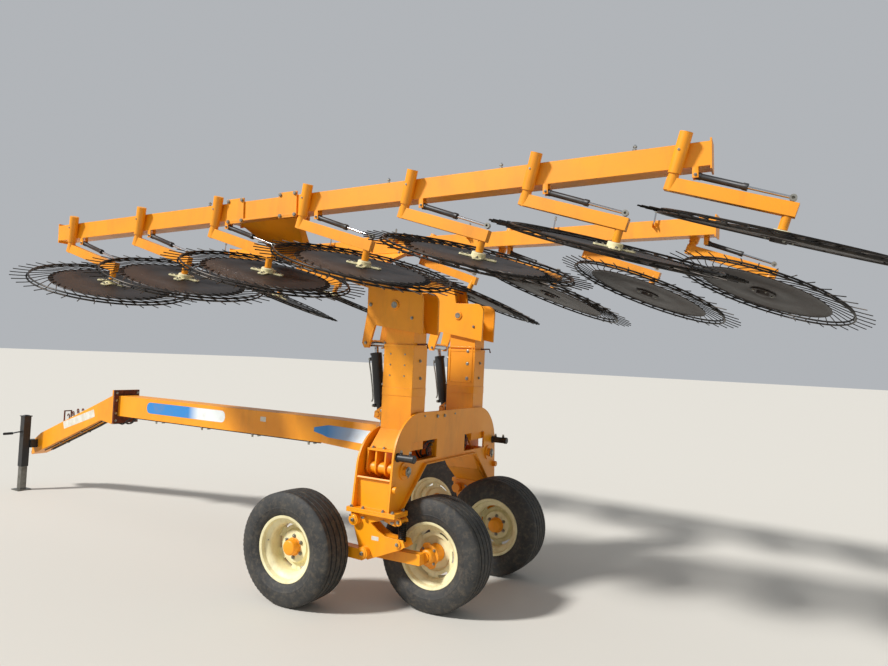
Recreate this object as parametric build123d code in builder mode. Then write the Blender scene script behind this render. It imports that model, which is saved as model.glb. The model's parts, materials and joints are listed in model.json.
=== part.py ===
# Wheel rake folded for the road: an arch on four wheels, two folding masts, two booms of tined wheels.
# X runs forward, Y to the left, Z up. The origin is on the ground, under the middle of the whole machine.
import os
from math import cos, radians, sin, sqrt

from build123d import *

os.makedirs("parts", exist_ok=True)

sides = (("left", 1), ("right", -1))
seat_gap = 0.3
running_gap = 0.05

# Ground wheels: the front pair stands outboard, the rear pair inboard
tyre_radius = 400
tyre_width = 280
rim_radius = 220
rim_width = 218
rim_barrel_radius = 180
wheel_station = 441
front_wheel_y = 1021
rear_wheel_y = 513
dish_offset = 45
hub_radius = 48
hub_cap_reach = 95

# Arch of two plates with the masts between them
rear_plate_x = -233
front_plate_x = 77
plate_thickness = 16
arch_foot_z = 707
arch_foot_outer_y = 855
arch_foot_inner_y = 714
arch_underside_z = 1000
arch_underside_y = 412
arch_haunch = (532, 843)
rear_arch_top_z = 1385
front_arch_top_z = 1262
window_inner_y = 230
window_outer_y = 600
window_low_z = 1030
window_high_z = 1170
window_middle_z = (window_low_z + window_high_z) / 2
middle_box_top_z = 1240
middle_box_half_width = 220
leg_web_y = 795
leg_web_top_z = 905
shelf_inner = (742, 884)
shelf_outer = (822, 922)
web_thickness = 12
foot_rear_x = -300
foot_front_x = 114
foot_flange_thickness = 16
foot_inner_y = 700
foot_outer_y = 870
foot_middle_x = (foot_rear_x + foot_front_x) / 2
foot_middle_y = (foot_inner_y + foot_outer_y) / 2

# Fold hinge of a mast, along X
fold_pin_y = 688
fold_pin_z = 977
fold_pin_radius = 25
washer_radius = 62
washer_thickness = 10

# Lock cylinder behind the rear plate
lock_y = 778
lock_z = 1083
lock_barrel_radius = 24
lock_barrel_length = 136

# Mast
mast_y = 496
column_x = -86
column_depth = 262
column_width = 192
sleeve_step = 8
base_flange_z = 1105
base_flange_thickness = 16
base_flange_outer_y = 745
foot_kink_z = 1250
sleeve_top_z = 1880
column_top_z = 1975
knuckle_inner_reach = 160
knuckle_outer_reach = 48
knuckle_radius = 58
knuckle_plates = (42, -30, -112)
knuckle_plate_thickness = 14

# Top pivot, along Y, and the head that nods on it
pivot_x = -50
pivot_z = 2174
pivot_pin_radius = 35
pivot_boss_radius = 92
cheek_gap = 7
cheek_thickness = 20
boom_nod = 1.22
boom_shift = 100

# Cylinder that nods the head
cylinder_foot_x = 118
cylinder_foot_z = 1345
cylinder_pin_radius = 18
barrel_radius = 42
rod_radius = 20
barrel_length = 470
barrel_bore_start = 190
rod_start = 200
lug_width = 52
ear_x = 250
ear_z = -284
ear_radius = 42

# Arm from the head to the saddle under the boom, measured from the top pivot
arm_root_x = 60
arm_slope = 0.29
arm_height_at_root = 154
arm_root_depth = 150
arm_end_depth = 118
arm_end_width = 110
arm_end_y = 640
saddle_station = 1090
clamp_offset = 258
clamp_length = 170
clamp_thickness = 12
clamp_overhang = 28
arm_end_overrun = 130
saddle_plate_length = 690
saddle_plate_thickness = 14
saddle_plate_overhang = 13
saddle_web_foot = (300, 90)
saddle_web_head = (560, 80)
saddle_web_inboard = 28

# Boom, before the head nods: its rear end, toe-out and fall to the front
boom_rear_x = -2167
boom_rear_y = 775
boom_rear_z = 2957
boom_length = 5628
boom_side = 138
boom_toe = 3.35
boom_fall = 0.99
end_plate_thickness = 10
end_plate_rise = 18

# Tined wheels: pivot tubes on the boom's outboard face, swing arms to the hubs
wheels_per_boom = 7
first_tube = 156
last_tube_margin = 246
tube_pitch = (boom_length - first_tube - last_tube_margin) / (wheels_per_boom - 1)
tube_radius = 37
tube_above = 50
tube_below = 30
trail = 495
hub_offset = 61
hub_drop = 500
tine_tip_radius = 760
tine_count = 20
tine_root_radius = 470
tine_section = 8
ring_radius = 636
ring_section = 14
guard_radius = 485
guard_thickness = 4
rim_facets = 20
rake_hub_radius = 52
rake_hub_height = 40
axis_rear = 0.308
axis_out = 0.155
swing_arm_depth = 76
swing_arm_width = 50
swing_head_drop = 24
swing_head_radius = 30
stub_height = 150
stub_radius = 25
spring_radius = 18
spring_rod_radius = 9
spring_share = 0.52

# Tongue, gooseneck, hitch and jack; stations are from the middle of the four wheels
tongue_half_width = 100
tongue_low_z = 1000
tongue_high_z = 1220
tongue_front_x = 3880
flare_end_x = front_plate_x + plate_thickness / 2 + seat_gap
flare_stations = (
    (1000, tongue_half_width, tongue_half_width, tongue_low_z, tongue_high_z),
    (430, tongue_half_width, 290, 1005, 1210),
    (flare_end_x, 600, 640, 1060, 1200),
)
neck_crest = (4310, 1085)
neck_toe = (5335, 673)
neck_fall = (neck_toe[1] - neck_crest[1]) / (neck_toe[0] - neck_crest[0])
joint_plate_thickness = 20
joint_plate_low_z = 920
joint_plate_high_z = 1280
joint_plate_half_width = 150
hitch_tip_x = 5620
hitch_pin_x = 5575
hitch_pin_radius = 16
neck_nose_x = 5500
neck_nose_high_z = 560
neck_nose_low_z = 400
neck_half_width = 90
neck_root_high_z = 1250
neck_root_low_z = 930
neck_under_rear = (4010, 900)
neck_under_bend = (4190, 927)
neck_under_front = (neck_nose_x - 190, 472)
hitch_plate_thickness = 24
hitch_plate_width = 90
hitch_low_z = 400
hitch_high_z = 490
jack_x = 5440
jack_y = 215
jack_tube_side = 80
jack_tube_wall = 6
jack_tube_low_z = 280
jack_tube_high_z = 870
jack_bore_side = jack_tube_side - 2 * jack_tube_wall
jack_leg_side = jack_bore_side - 2 * running_gap
jack_leg_top_z = 620
jack_foot_side = 150
jack_foot_thickness = 12
rack_x = 4960
rack_top_z = 965

# Walking beam under each leg
beam_pivot_x = -38
beam_pivot_z = 399
upper_pivot_x = 55
upper_pivot_z = 621
beam_tube_depth = 76
beam_rear_y = 704
beam_front_y = 824
beam_spring_x = -306
beam_spring_top_z = 651
beam_spring_low_z = 499
beam_pin_radius = 12
beam_rod_radius = 10
beam_spring_y = 770
beam_spring_radius = 30
spindle_radius = 30
spindle_root = 30
beam_plate_thickness = 14
beam_boss_reach = 38
upper_boss_radius = 40
lower_boss_radius = 44
beam_tube_pivot_z = 388
beam_tube_wheel_z = 395

axis_up = sqrt(1 - axis_rear**2 - axis_out**2)


def nod(x, z, angle):
    turn = radians(angle)
    return x * cos(turn) + z * sin(turn), z * cos(turn) - x * sin(turn)


axle_x = 0


def station(x):
    return axle_x + x


# Side plane: sketch X forward, sketch Y up; cross plane: sketch X to the left, sketch Y up
def side_plane(x, y, z, angle=0):
    ahead = nod(1, 0, angle)
    return Plane(origin=(station(x), y, z), x_dir=(ahead[0], 0, ahead[1]), z_dir=(0, -1, 0))


def cross_plane(x):
    return Plane.YZ.offset(station(x))


def bar(start, end, width, depth, across=(0, 1, 0)):
    start, end = Vector(start), Vector(end)
    run = end - start
    with BuildPart() as piece:
        with BuildSketch(Plane(origin=start, x_dir=across, z_dir=run)):
            Rectangle(width, depth)
        extrude(amount=run.length)
    return piece.part


def rod(start, end, radius):
    start, end = Vector(start), Vector(end)
    run = end - start
    with BuildPart() as piece:
        with BuildSketch(Plane(origin=start, z_dir=run)):
            Circle(radius)
        extrude(amount=run.length)
    return piece.part


# Frame of a head: origin on the top pivot at the machine's middle, X ahead, Y left, Z up
def head_frame(sign):
    ahead, up = nod(1, 0, sign * boom_nod), nod(0, 1, sign * boom_nod)
    return Plane(origin=(station(pivot_x), 0, pivot_z), x_dir=(ahead[0], 0, ahead[1]), z_dir=(up[0], 0, up[1]))


# Frame of a boom: origin at the rear end of its centre line, X along it, Y left, Z up
def boom_frame(sign):
    head = head_frame(sign)
    toe, fall = radians(boom_toe), radians(boom_fall)
    ahead = Vector(cos(toe) * cos(fall), sign * sin(toe) * cos(fall), -sin(fall))
    left = Vector(-sign * sin(toe), cos(toe), 0)
    rear = Vector(boom_rear_x - sign * boom_shift - pivot_x, sign * boom_rear_y, boom_rear_z - pivot_z)
    origin = head.from_local_coords(rear)
    x_dir = head.from_local_coords(rear + ahead) - origin
    z_dir = head.from_local_coords(rear + ahead.cross(left)) - origin
    return Plane(origin=origin, x_dir=x_dir, z_dir=z_dir)


def in_boom(sign, along, outboard, up):
    return boom_frame(sign).from_local_coords(Vector(along, sign * outboard, up))


def rake_axis(sign):
    return in_boom(sign, -axis_rear, axis_out, axis_up) - in_boom(sign, 0, 0, 0)


def tube_place(number):
    return first_tube + (wheels_per_boom - number) * tube_pitch


def hub_centre(sign, number):
    return in_boom(sign, tube_place(number) - trail, hub_offset, -hub_drop)


def arm_z(x):
    return arm_height_at_root + arm_slope * (x - arm_root_x)


# The left boom's last tines are the rear end of the machine: with them found, the origin moves to the middle
last_axis = rake_axis(1)
last_reach = tine_tip_radius * sqrt(1 - last_axis.X**2) - (tine_section + seat_gap) * last_axis.X
rear_end_x = hub_centre(1, wheels_per_boom).X - last_reach
axle_x = -(hitch_tip_x + rear_end_x) / 2

# Arch: two plates, a box at the middle, leg webs, shelves and foot flanges
with BuildPart() as chassis:
    for plate_x, top_z, shoulder_y, shoulder_radius in (
        (rear_plate_x, rear_arch_top_z, 800, 345),
        (front_plate_x, front_arch_top_z, 786, 300),
    ):
        with BuildSketch(cross_plane(plate_x)):
            with BuildLine():
                FilletPolyline(
                    (arch_foot_outer_y, arch_foot_z), (shoulder_y, top_z), (0, top_z), radius=shoulder_radius
                )
                Polyline(
                    (0, top_z), (0, arch_underside_z), (arch_underside_y, arch_underside_z),
                    arch_haunch, (arch_foot_inner_y, arch_foot_z), (arch_foot_outer_y, arch_foot_z),
                )
            make_face()
            mirror(about=Plane.YZ)
            with Locations((fold_pin_y, fold_pin_z), (-fold_pin_y, fold_pin_z)):
                Circle(fold_pin_radius + running_gap, mode=Mode.SUBTRACT)
            if plate_x == rear_plate_x:
                window_y = (window_inner_y + window_outer_y) / 2
                with Locations(
                    (window_y, window_middle_z), (-window_y, window_middle_z)
                ):
                    Rectangle(window_outer_y - window_inner_y, window_high_z - window_low_z, mode=Mode.SUBTRACT)
        extrude(amount=plate_thickness / 2, both=True)
    middle_x = (rear_plate_x + front_plate_x) / 2
    between_plates = front_plate_x - rear_plate_x
    with BuildSketch(cross_plane(middle_x)):
        with Locations((0, (arch_underside_z + middle_box_top_z) / 2)):
            Rectangle(2 * middle_box_half_width, middle_box_top_z - arch_underside_z)
        with Locations((0, arch_underside_z + web_thickness / 2)):
            Rectangle(2 * (arch_underside_y + web_thickness), web_thickness)
    extrude(amount=between_plates / 2, both=True)
    for sign in (1, -1):
        outline = (
            ((arch_foot_inner_y, arch_foot_z), arch_haunch),
            (arch_haunch, (arch_underside_y, arch_underside_z)),
        )
        for (low_y, low_z), (high_y, high_z) in outline:
            start = (station(middle_x), sign * low_y, low_z)
            end = (station(middle_x), sign * high_y, high_z)
            add(bar(start, end, between_plates, web_thickness, (1, 0, 0)))
        add(bar(
            (station(middle_x), sign * leg_web_y, arch_foot_z - foot_flange_thickness / 2),
            (station(middle_x), sign * leg_web_y, leg_web_top_z), between_plates, web_thickness, (1, 0, 0)
        ))
        add(bar(
            (station(middle_x), sign * shelf_inner[0], shelf_inner[1]),
            (station(middle_x), sign * shelf_outer[0], shelf_outer[1]),
            between_plates, web_thickness, (1, 0, 0)
        ))
        with BuildSketch(Plane.XY.offset(arch_foot_z - foot_flange_thickness)):
            with Locations((station(foot_middle_x), sign * foot_middle_y)):
                Rectangle(foot_front_x - foot_rear_x, foot_outer_y - foot_inner_y)
        extrude(amount=foot_flange_thickness)
        rear_face = rear_plate_x - plate_thickness / 2
        add(rod(
            (station(rear_face + 1), sign * lock_y, lock_z),
            (station(rear_face - lock_barrel_length), sign * lock_y, lock_z), lock_barrel_radius
        ))
chassis.part.label = "chassis"
export_step(chassis.part, "parts/chassis.step")

# Tongue: a box tube that flares to the arch, with a joint plate at its front end
with BuildPart() as tongue:
    flare_front = flare_stations[0][0]
    with BuildSketch(cross_plane(flare_front)):
        with Locations((0, (tongue_low_z + tongue_high_z) / 2)):
            Rectangle(2 * tongue_half_width, tongue_high_z - tongue_low_z)
    extrude(amount=tongue_front_x - flare_front)
    for flare_x, half_top, half_low, low_z, high_z in flare_stations:
        with BuildSketch(cross_plane(flare_x)):
            Polygon(
                (-half_low, low_z), (half_low, low_z), (half_top, high_z), (-half_top, high_z), align=None
            )
    loft(ruled=True)
    with BuildSketch(cross_plane(tongue_front_x)):
        with Locations((0, (joint_plate_low_z + joint_plate_high_z) / 2)):
            Rectangle(2 * joint_plate_half_width, joint_plate_high_z - joint_plate_low_z)
    extrude(amount=joint_plate_thickness)
tongue.part.label = "tongue"
export_step(tongue.part, "parts/tongue.step")

# Gooseneck: a side profile between its own joint plate and the hitch
with BuildPart() as gooseneck:
    neck_x = tongue_front_x + joint_plate_thickness + seat_gap
    with BuildSketch(cross_plane(neck_x)):
        with Locations((0, (joint_plate_low_z + joint_plate_high_z) / 2)):
            Rectangle(2 * joint_plate_half_width, joint_plate_high_z - joint_plate_low_z)
    extrude(amount=joint_plate_thickness)
    with BuildSketch(side_plane(0, 0, 0)):
        Polygon(
            (neck_x + 10, neck_root_high_z), neck_crest, neck_toe, (neck_nose_x, neck_nose_high_z),
            (neck_nose_x, neck_nose_low_z), neck_under_front, neck_under_bend, neck_under_rear,
            (neck_x + 10, neck_root_low_z), align=None
        )
    extrude(amount=neck_half_width, both=True)
gooseneck.part.label = "gooseneck"
export_step(gooseneck.part, "parts/gooseneck.step")

# Hitch: two plates with a drawbar pin bore, on a block at the gooseneck's end
with BuildPart() as hitch:
    block_x = neck_nose_x + seat_gap
    with BuildSketch(cross_plane(block_x)):
        with Locations((0, (hitch_low_z + hitch_high_z) / 2)):
            Rectangle(hitch_plate_width + 40, hitch_high_z - hitch_low_z)
    extrude(amount=20)
    for low_z in (hitch_low_z, hitch_high_z - hitch_plate_thickness):
        with BuildSketch(Plane.XY.offset(low_z)):
            with BuildLine():
                half = hitch_plate_width / 2
                reach = hitch_tip_x - half
                Line((station(block_x + 10), -half), (station(reach), -half))
                ThreePointArc((station(reach), -half), (station(hitch_tip_x), 0), (station(reach), half))
                root = station(block_x + 10)
                Polyline((station(reach), half), (root, half), (root, -half))
            make_face()
            with Locations((station(hitch_pin_x), 0)):
                Circle(hitch_pin_radius, mode=Mode.SUBTRACT)
        extrude(amount=hitch_plate_thickness)
hitch.part.label = "hitch"
export_step(hitch.part, "parts/hitch.step")

# Jack: square tube bolted to the gooseneck's left side, with a sliding leg on a foot
with BuildPart() as jack_tube:
    with BuildSketch(Plane.XY.offset(jack_tube_low_z)):
        with Locations((station(jack_x), jack_y)):
            Rectangle(jack_tube_side, jack_tube_side)
            Rectangle(jack_bore_side, jack_bore_side, mode=Mode.SUBTRACT)
    extrude(amount=jack_tube_high_z - jack_tube_low_z)
    with BuildSketch(Plane.XY.offset(jack_tube_high_z - 1)):
        with Locations((station(jack_x), jack_y)):
            Rectangle(jack_tube_side + 16, jack_tube_side + 16)
    extrude(amount=10)
    bracket_gap = jack_y - jack_tube_side / 2 - neck_half_width
    with BuildSketch(Plane.XY.offset(500)):
        with Locations((station(jack_x - 10), jack_y - jack_tube_side / 2 - bracket_gap / 2 + seat_gap / 2)):
            Rectangle(100, bracket_gap - seat_gap)
    extrude(amount=90)
jack_tube.part.label = "jack_tube"
export_step(jack_tube.part, "parts/jack_tube.step")

with BuildPart() as jack_leg:
    with BuildSketch(Plane.XY):
        with Locations((station(jack_x), jack_y)):
            Rectangle(jack_foot_side, jack_foot_side)
    extrude(amount=jack_foot_thickness)
    with BuildSketch(Plane.XY.offset(jack_foot_thickness / 2)):
        with Locations((station(jack_x), jack_y)):
            Rectangle(jack_leg_side, jack_leg_side)
    extrude(amount=jack_leg_top_z - jack_foot_thickness / 2)
jack_leg.part.label = "jack_leg"
export_step(jack_leg.part, "parts/jack_leg.step")

# Rack that holds the hose ends above the gooseneck
with BuildPart() as hose_rack:
    rack_foot_z = neck_crest[1] + (rack_x - neck_crest[0]) * neck_fall + 6 * abs(neck_fall) + seat_gap
    for y in (-40, 40):
        add(bar((station(rack_x), y, rack_foot_z), (station(rack_x), y, rack_top_z), 12, 12, (1, 0, 0)))
    add(bar((station(rack_x), -46, rack_top_z), (station(rack_x), 46, rack_top_z), 12, 12, (1, 0, 0)))
hose_rack.part.label = "hose_rack"
export_step(hose_rack.part, "parts/hose_rack.step")

# Walking beams: bolted top plate, hanger plates, rocker plates, two tubes and their spindles
for side, sign in sides:
    top_z = arch_foot_z - foot_flange_thickness - seat_gap
    with BuildPart() as walking_beam:
        with BuildSketch(Plane.XY.offset(top_z - foot_flange_thickness)):
            with Locations((station(foot_middle_x), sign * foot_middle_y)):
                Rectangle(foot_front_x - foot_rear_x, foot_outer_y - foot_inner_y)
        extrude(amount=foot_flange_thickness)
        for y in (beam_rear_y + 20, beam_front_y - 8):
            with BuildSketch(side_plane(0, sign * y, 0)):
                Polygon(
                    (foot_front_x - 5, top_z - 8), (foot_rear_x + 5, top_z - 8), (foot_rear_x - 20, 640),
                    (-280, 615), (-170, 640), (upper_pivot_x - 40, 585), (upper_pivot_x + 40, 585), align=None
                )
                Polygon(
                    (upper_pivot_x + 45, 640), (upper_pivot_x - 60, 655), (-140, 560), (-200, 535), (-345, 530),
                    (-365, 490), (-330, 465), (-60, 350), (beam_pivot_x + 40, 370), align=None
                )
            extrude(amount=beam_plate_thickness / 2, both=True)
        for x, z, boss_radius in (
            (upper_pivot_x, upper_pivot_z, upper_boss_radius), (beam_pivot_x, beam_pivot_z, lower_boss_radius)
        ):
            inner = (station(x), sign * (beam_rear_y - beam_boss_reach), z)
            outer = (station(x), sign * (beam_front_y + beam_boss_reach), z)
            add(rod(inner, outer, boss_radius))
        # beam to the wheel: lengthwise end, sideways place, spindle's root and its end in the hub
        for end_x, y, root_y, hub_y in (
            (-wheel_station, beam_rear_y, beam_rear_y - spindle_root, rear_wheel_y - dish_offset + seat_gap),
            (wheel_station, beam_front_y, beam_front_y + spindle_root, front_wheel_y + dish_offset - seat_gap),
        ):
            pivot_end = (station(beam_pivot_x), sign * y, beam_tube_pivot_z)
            wheel_end = (station(end_x), sign * y, beam_tube_wheel_z)
            add(bar(pivot_end, wheel_end, beam_tube_depth, beam_tube_depth))
            root = (station(end_x), sign * root_y, tyre_radius)
            add(rod(root, (station(end_x), sign * hub_y, tyre_radius), spindle_radius))
        for z in (beam_spring_top_z, beam_spring_low_z):
            pin_x = station(beam_spring_x)
            inner = (pin_x, sign * (beam_rear_y + 15), z)
            outer = (pin_x, sign * (beam_front_y - 3), z)
            add(rod(inner, outer, beam_pin_radius))
        add(rod(
            (station(beam_spring_x), sign * beam_spring_y, beam_spring_low_z),
            (station(beam_spring_x), sign * beam_spring_y, beam_spring_top_z), beam_rod_radius
        ))
    walking_beam.part.label = f"walking_beam_{side}"
    export_step(walking_beam.part, f"parts/walking_beam_{side}.step")

    with BuildPart() as beam_spring:
        spring_low = beam_spring_low_z + beam_pin_radius + seat_gap
        spring_high = beam_spring_top_z - beam_pin_radius - seat_gap
        with BuildSketch(Plane.XY.offset(spring_low)):
            with Locations((station(beam_spring_x), sign * beam_spring_y)):
                Circle(beam_spring_radius)
                Circle(beam_rod_radius + seat_gap, mode=Mode.SUBTRACT)
        extrude(amount=spring_high - spring_low)
    beam_spring.part.label = f"beam_spring_{side}"
    export_step(beam_spring.part, f"parts/beam_spring_{side}.step")

    # Fold pin with its washer and nut on the rear plate
    rear_face = station(rear_plate_x - plate_thickness / 2)
    front_face = station(front_plate_x + plate_thickness / 2)
    with BuildPart() as fold_pin:
        add(rod(
            (rear_face - washer_thickness - seat_gap, sign * fold_pin_y, fold_pin_z),
            (front_face + 12, sign * fold_pin_y, fold_pin_z), fold_pin_radius
        ))
        add(rod(
            (rear_face - washer_thickness - seat_gap, sign * fold_pin_y, fold_pin_z),
            (rear_face - seat_gap, sign * fold_pin_y, fold_pin_z), washer_radius
        ))
        seat = (rear_face - washer_thickness, sign * fold_pin_y, fold_pin_z)
        with BuildSketch(Plane(origin=seat, z_dir=(-1, 0, 0))):
            RegularPolygon(34, 6)
        extrude(amount=26)
    fold_pin.part.label = f"fold_pin_{side}"
    export_step(fold_pin.part, f"parts/fold_pin_{side}.step")

# Ground wheels: tyre and dished rim, each with its dish towards the spindle's far end
ground_wheels = (
    ("front_left", 1, wheel_station, front_wheel_y, 1),
    ("rear_left", 1, -wheel_station, rear_wheel_y, -1),
    ("front_right", -1, wheel_station, front_wheel_y, 1),
    ("rear_right", -1, -wheel_station, rear_wheel_y, -1),
)
for name, sign, x, y, dish_way in ground_wheels:
    centre = Vector(station(x), sign * y, tyre_radius)
    way = sign * dish_way
    axle = Axis(centre, (0, 1, 0))
    profile_plane = Plane(origin=centre, x_dir=(0, way, 0), z_dir=(way, 0, 0))
    half = tyre_width / 2
    with BuildPart() as tyre:
        with BuildSketch(profile_plane):
            Polygon(
                (-rim_width / 2, rim_radius + seat_gap), (rim_width / 2, rim_radius + seat_gap), (half, 310),
                (half - 28, tyre_radius), (28 - half, tyre_radius), (-half, 310), align=None
            )
        revolve(axis=axle)
    tyre.part.label = f"tyre_{name}"
    export_step(tyre.part, f"parts/tyre_{name}.step")

    with BuildPart() as rim:
        with BuildSketch(profile_plane):
            Polygon(
                (-rim_width / 2, rim_barrel_radius), (-rim_width / 2, rim_radius), (rim_width / 2, rim_radius),
                (rim_width / 2, rim_barrel_radius), (dish_offset + 12, rim_barrel_radius - 20),
                (dish_offset + 12, hub_radius), (hub_cap_reach, hub_radius - 6), (hub_cap_reach, 0),
                (dish_offset, 0), (dish_offset, rim_barrel_radius - 20), align=None
            )
        revolve(axis=axle)
    rim.part.label = f"rim_{name}"
    export_step(rim.part, f"parts/rim_{name}.step")

# Masts with their nodding cylinders, heads, arms and booms
for side, sign in sides:
    head = head_frame(sign)
    pivot_y = sign * mast_y
    with BuildPart() as mast:
        with BuildSketch(Plane.XY.offset(foot_kink_z)):
            with Locations((station(column_x), pivot_y)):
                Rectangle(column_depth, column_width)
        extrude(amount=sleeve_top_z - foot_kink_z)
        with BuildSketch(Plane.XY.offset(sleeve_top_z)):
            with Locations((station(column_x), pivot_y)):
                Rectangle(column_depth - 2 * sleeve_step, column_width - 2 * sleeve_step)
        extrude(amount=column_top_z - sleeve_top_z)
        foot_outer = base_flange_outer_y - 30
        foot_inner = mast_y - column_width / 2
        with BuildSketch(Plane.XY.offset(base_flange_z + base_flange_thickness)):
            with Locations((station(column_x), sign * (foot_outer + foot_inner) / 2)):
                Rectangle(column_depth, foot_outer - foot_inner)
        with BuildSketch(Plane.XY.offset(foot_kink_z)):
            with Locations((station(column_x), pivot_y)):
                Rectangle(column_depth, column_width)
        loft(ruled=True)
        with BuildSketch(Plane.XY.offset(base_flange_z)):
            with Locations((station(column_x), sign * (base_flange_outer_y + foot_inner) / 2)):
                Rectangle(column_depth, base_flange_outer_y - foot_inner)
        extrude(amount=base_flange_thickness)
        for plate_x in knuckle_plates:
            with BuildSketch(cross_plane(plate_x)):
                with Locations((sign * fold_pin_y, fold_pin_z)):
                    Circle(knuckle_radius)
                Polygon(
                    (sign * (fold_pin_y - knuckle_inner_reach), base_flange_z + 2),
                    (sign * (fold_pin_y + knuckle_outer_reach), base_flange_z + 2),
                    (sign * (fold_pin_y + knuckle_radius), fold_pin_z),
                    (sign * (fold_pin_y - knuckle_radius), fold_pin_z),
                    align=None
                )
            extrude(amount=knuckle_plate_thickness / 2, both=True)
        add(rod(
            (station(knuckle_plates[-1] - 60), sign * fold_pin_y, fold_pin_z),
            (station(knuckle_plates[0] + 12), sign * fold_pin_y, fold_pin_z), 44
        ))
        add(rod(
            (station(front_plate_x - plate_thickness / 2 - 6), sign * fold_pin_y, fold_pin_z),
            (station(rear_plate_x + plate_thickness / 2 + 6), sign * fold_pin_y, fold_pin_z),
            fold_pin_radius + running_gap
        ), mode=Mode.SUBTRACT)
        with BuildSketch(side_plane(0, pivot_y, 0)):
            Polygon(
                (column_x - column_depth / 2 + sleeve_step, column_top_z - 5),
                (column_x + column_depth / 2 - sleeve_step, column_top_z - 5),
                (pivot_x + pivot_boss_radius - 4, pivot_z),
                (pivot_x - pivot_boss_radius + 4, pivot_z),
                align=None
            )
            with Locations((pivot_x, pivot_z)):
                Circle(pivot_boss_radius)
        extrude(amount=column_width / 2 - sleeve_step, both=True)
        with BuildSketch(side_plane(pivot_x, pivot_y, pivot_z)):
            Circle(pivot_pin_radius + running_gap)
        extrude(amount=column_width, both=True, mode=Mode.SUBTRACT)
        column_front = column_x + column_depth / 2
        for y in (-1, 1):
            with BuildSketch(side_plane(0, pivot_y + y * (lug_width / 2 + 9), 0)):
                Polygon(
                    (column_front - 2, cylinder_foot_z + 90), (cylinder_foot_x + 26, cylinder_foot_z + 22),
                    (cylinder_foot_x + 30, cylinder_foot_z - 24), (column_front - 2, cylinder_foot_z - 55),
                    align=None
                )
            extrude(amount=7, both=True)
        add(rod(
            (station(cylinder_foot_x), pivot_y - lug_width / 2 - 22, cylinder_foot_z),
            (station(cylinder_foot_x), pivot_y + lug_width / 2 + 22, cylinder_foot_z), cylinder_pin_radius
        ))
    mast.part.label = f"mast_{side}"
    export_step(mast.part, f"parts/mast_{side}.step")

    foot = Vector(station(cylinder_foot_x), pivot_y, cylinder_foot_z)
    eye = head.from_local_coords(Vector(ear_x, pivot_y, ear_z))
    ahead = (eye - foot).normalized()
    across = Vector(0, 1, 0)
    with BuildPart() as nod_barrel:
        add(rod(foot, foot + ahead * 90, lug_width / 2 - 1))
        add(rod(foot + ahead * 80, foot + ahead * barrel_length, barrel_radius))
        bore_start, bore_end = foot + ahead * barrel_bore_start, foot + ahead * (barrel_length + 1)
        add(rod(bore_start, bore_end, rod_radius + 2), mode=Mode.SUBTRACT)
        add(rod(foot - across * lug_width / 2, foot + across * lug_width / 2, 34))
        lug_side = across * lug_width
        add(rod(foot - lug_side, foot + lug_side, cylinder_pin_radius + running_gap), mode=Mode.SUBTRACT)
    nod_barrel.part.label = f"nod_barrel_{side}"
    export_step(nod_barrel.part, f"parts/nod_barrel_{side}.step")

    cheek_inside = column_width / 2 + cheek_gap
    with BuildPart() as nod_rod:
        add(rod(foot + ahead * rod_start, eye, rod_radius))
        add(rod(eye - across * (cheek_inside - 0.5), eye + across * (cheek_inside - 0.5), 28))
    nod_rod.part.label = f"nod_rod_{side}"
    export_step(nod_rod.part, f"parts/nod_rod_{side}.step")

    with BuildPart() as arm:
        for way in (-1, 1):
            cheek_y = pivot_y + way * (cheek_inside + cheek_thickness / 2)
            with BuildSketch(side_plane(pivot_x, cheek_y, pivot_z, sign * boom_nod)):
                with BuildLine():
                    FilletPolyline(
                        (-240, 0), (-240, 106), (30, 106), radius=70
                    )
                    Polyline(
                        (30, 106), (60, arm_z(60) + arm_root_depth / 2), (250, arm_z(250) + 60), (250, -40),
                        (ear_x + ear_radius, ear_z), (ear_x + 20, ear_z - 36), (ear_x - 20, ear_z - 36),
                        (ear_x - 74, -150), (-240, -215), (-240, 0),
                    )
                make_face()
            extrude(amount=cheek_thickness / 2, both=True)
        end_x = saddle_station - sign * boom_shift + arm_end_overrun
        end_y = sign * arm_end_y
        end_z = arm_z(end_x)
        root = head.from_local_coords(Vector(arm_root_x + 60, pivot_y, arm_z(arm_root_x + 60)))
        end = head.from_local_coords(Vector(end_x, end_y, end_z))
        with BuildSketch(Plane(origin=root, x_dir=(0, 1, 0), z_dir=head.x_dir)):
            Rectangle(2 * cheek_inside + 2, arm_root_depth)
        with BuildSketch(Plane(origin=end, x_dir=(0, 1, 0), z_dir=head.x_dir)):
            Rectangle(arm_end_width, arm_end_depth)
        loft(ruled=True)
        boom = boom_frame(sign)
        saddle_x = (saddle_station - sign * boom_shift) - (boom_rear_x - sign * boom_shift - pivot_x)
        under = -boom_side / 2 - seat_gap
        seat = in_boom(sign, saddle_x, 0, under)
        with BuildSketch(Plane(origin=seat, x_dir=boom.x_dir, z_dir=-boom.z_dir)):
            Rectangle(saddle_plate_length, boom_side + 2 * saddle_plate_overhang)
        extrude(amount=saddle_plate_thickness)
        for station_on_boom in (saddle_x - clamp_offset, saddle_x + clamp_offset):
            for way in (-1, 1):
                face = way * (boom_side / 2 + seat_gap + clamp_thickness / 2)
                middle = in_boom(sign, station_on_boom, face, 0)
                with BuildSketch(Plane(origin=middle, x_dir=boom.x_dir, z_dir=boom.y_dir)):
                    Rectangle(clamp_length, boom_side + 2 * clamp_overhang)
                extrude(amount=clamp_thickness / 2, both=True)
        low = head.from_local_coords(Vector(end_x - 150, end_y + sign * 20, arm_z(end_x - 150) + 20))
        high = in_boom(sign, saddle_x, -saddle_web_inboard, under - 10)
        with BuildSketch(Plane(origin=low, x_dir=head.x_dir, z_dir=head.z_dir)):
            Rectangle(*saddle_web_foot)
        with BuildSketch(Plane(origin=high, x_dir=boom.x_dir, z_dir=boom.z_dir)):
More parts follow.
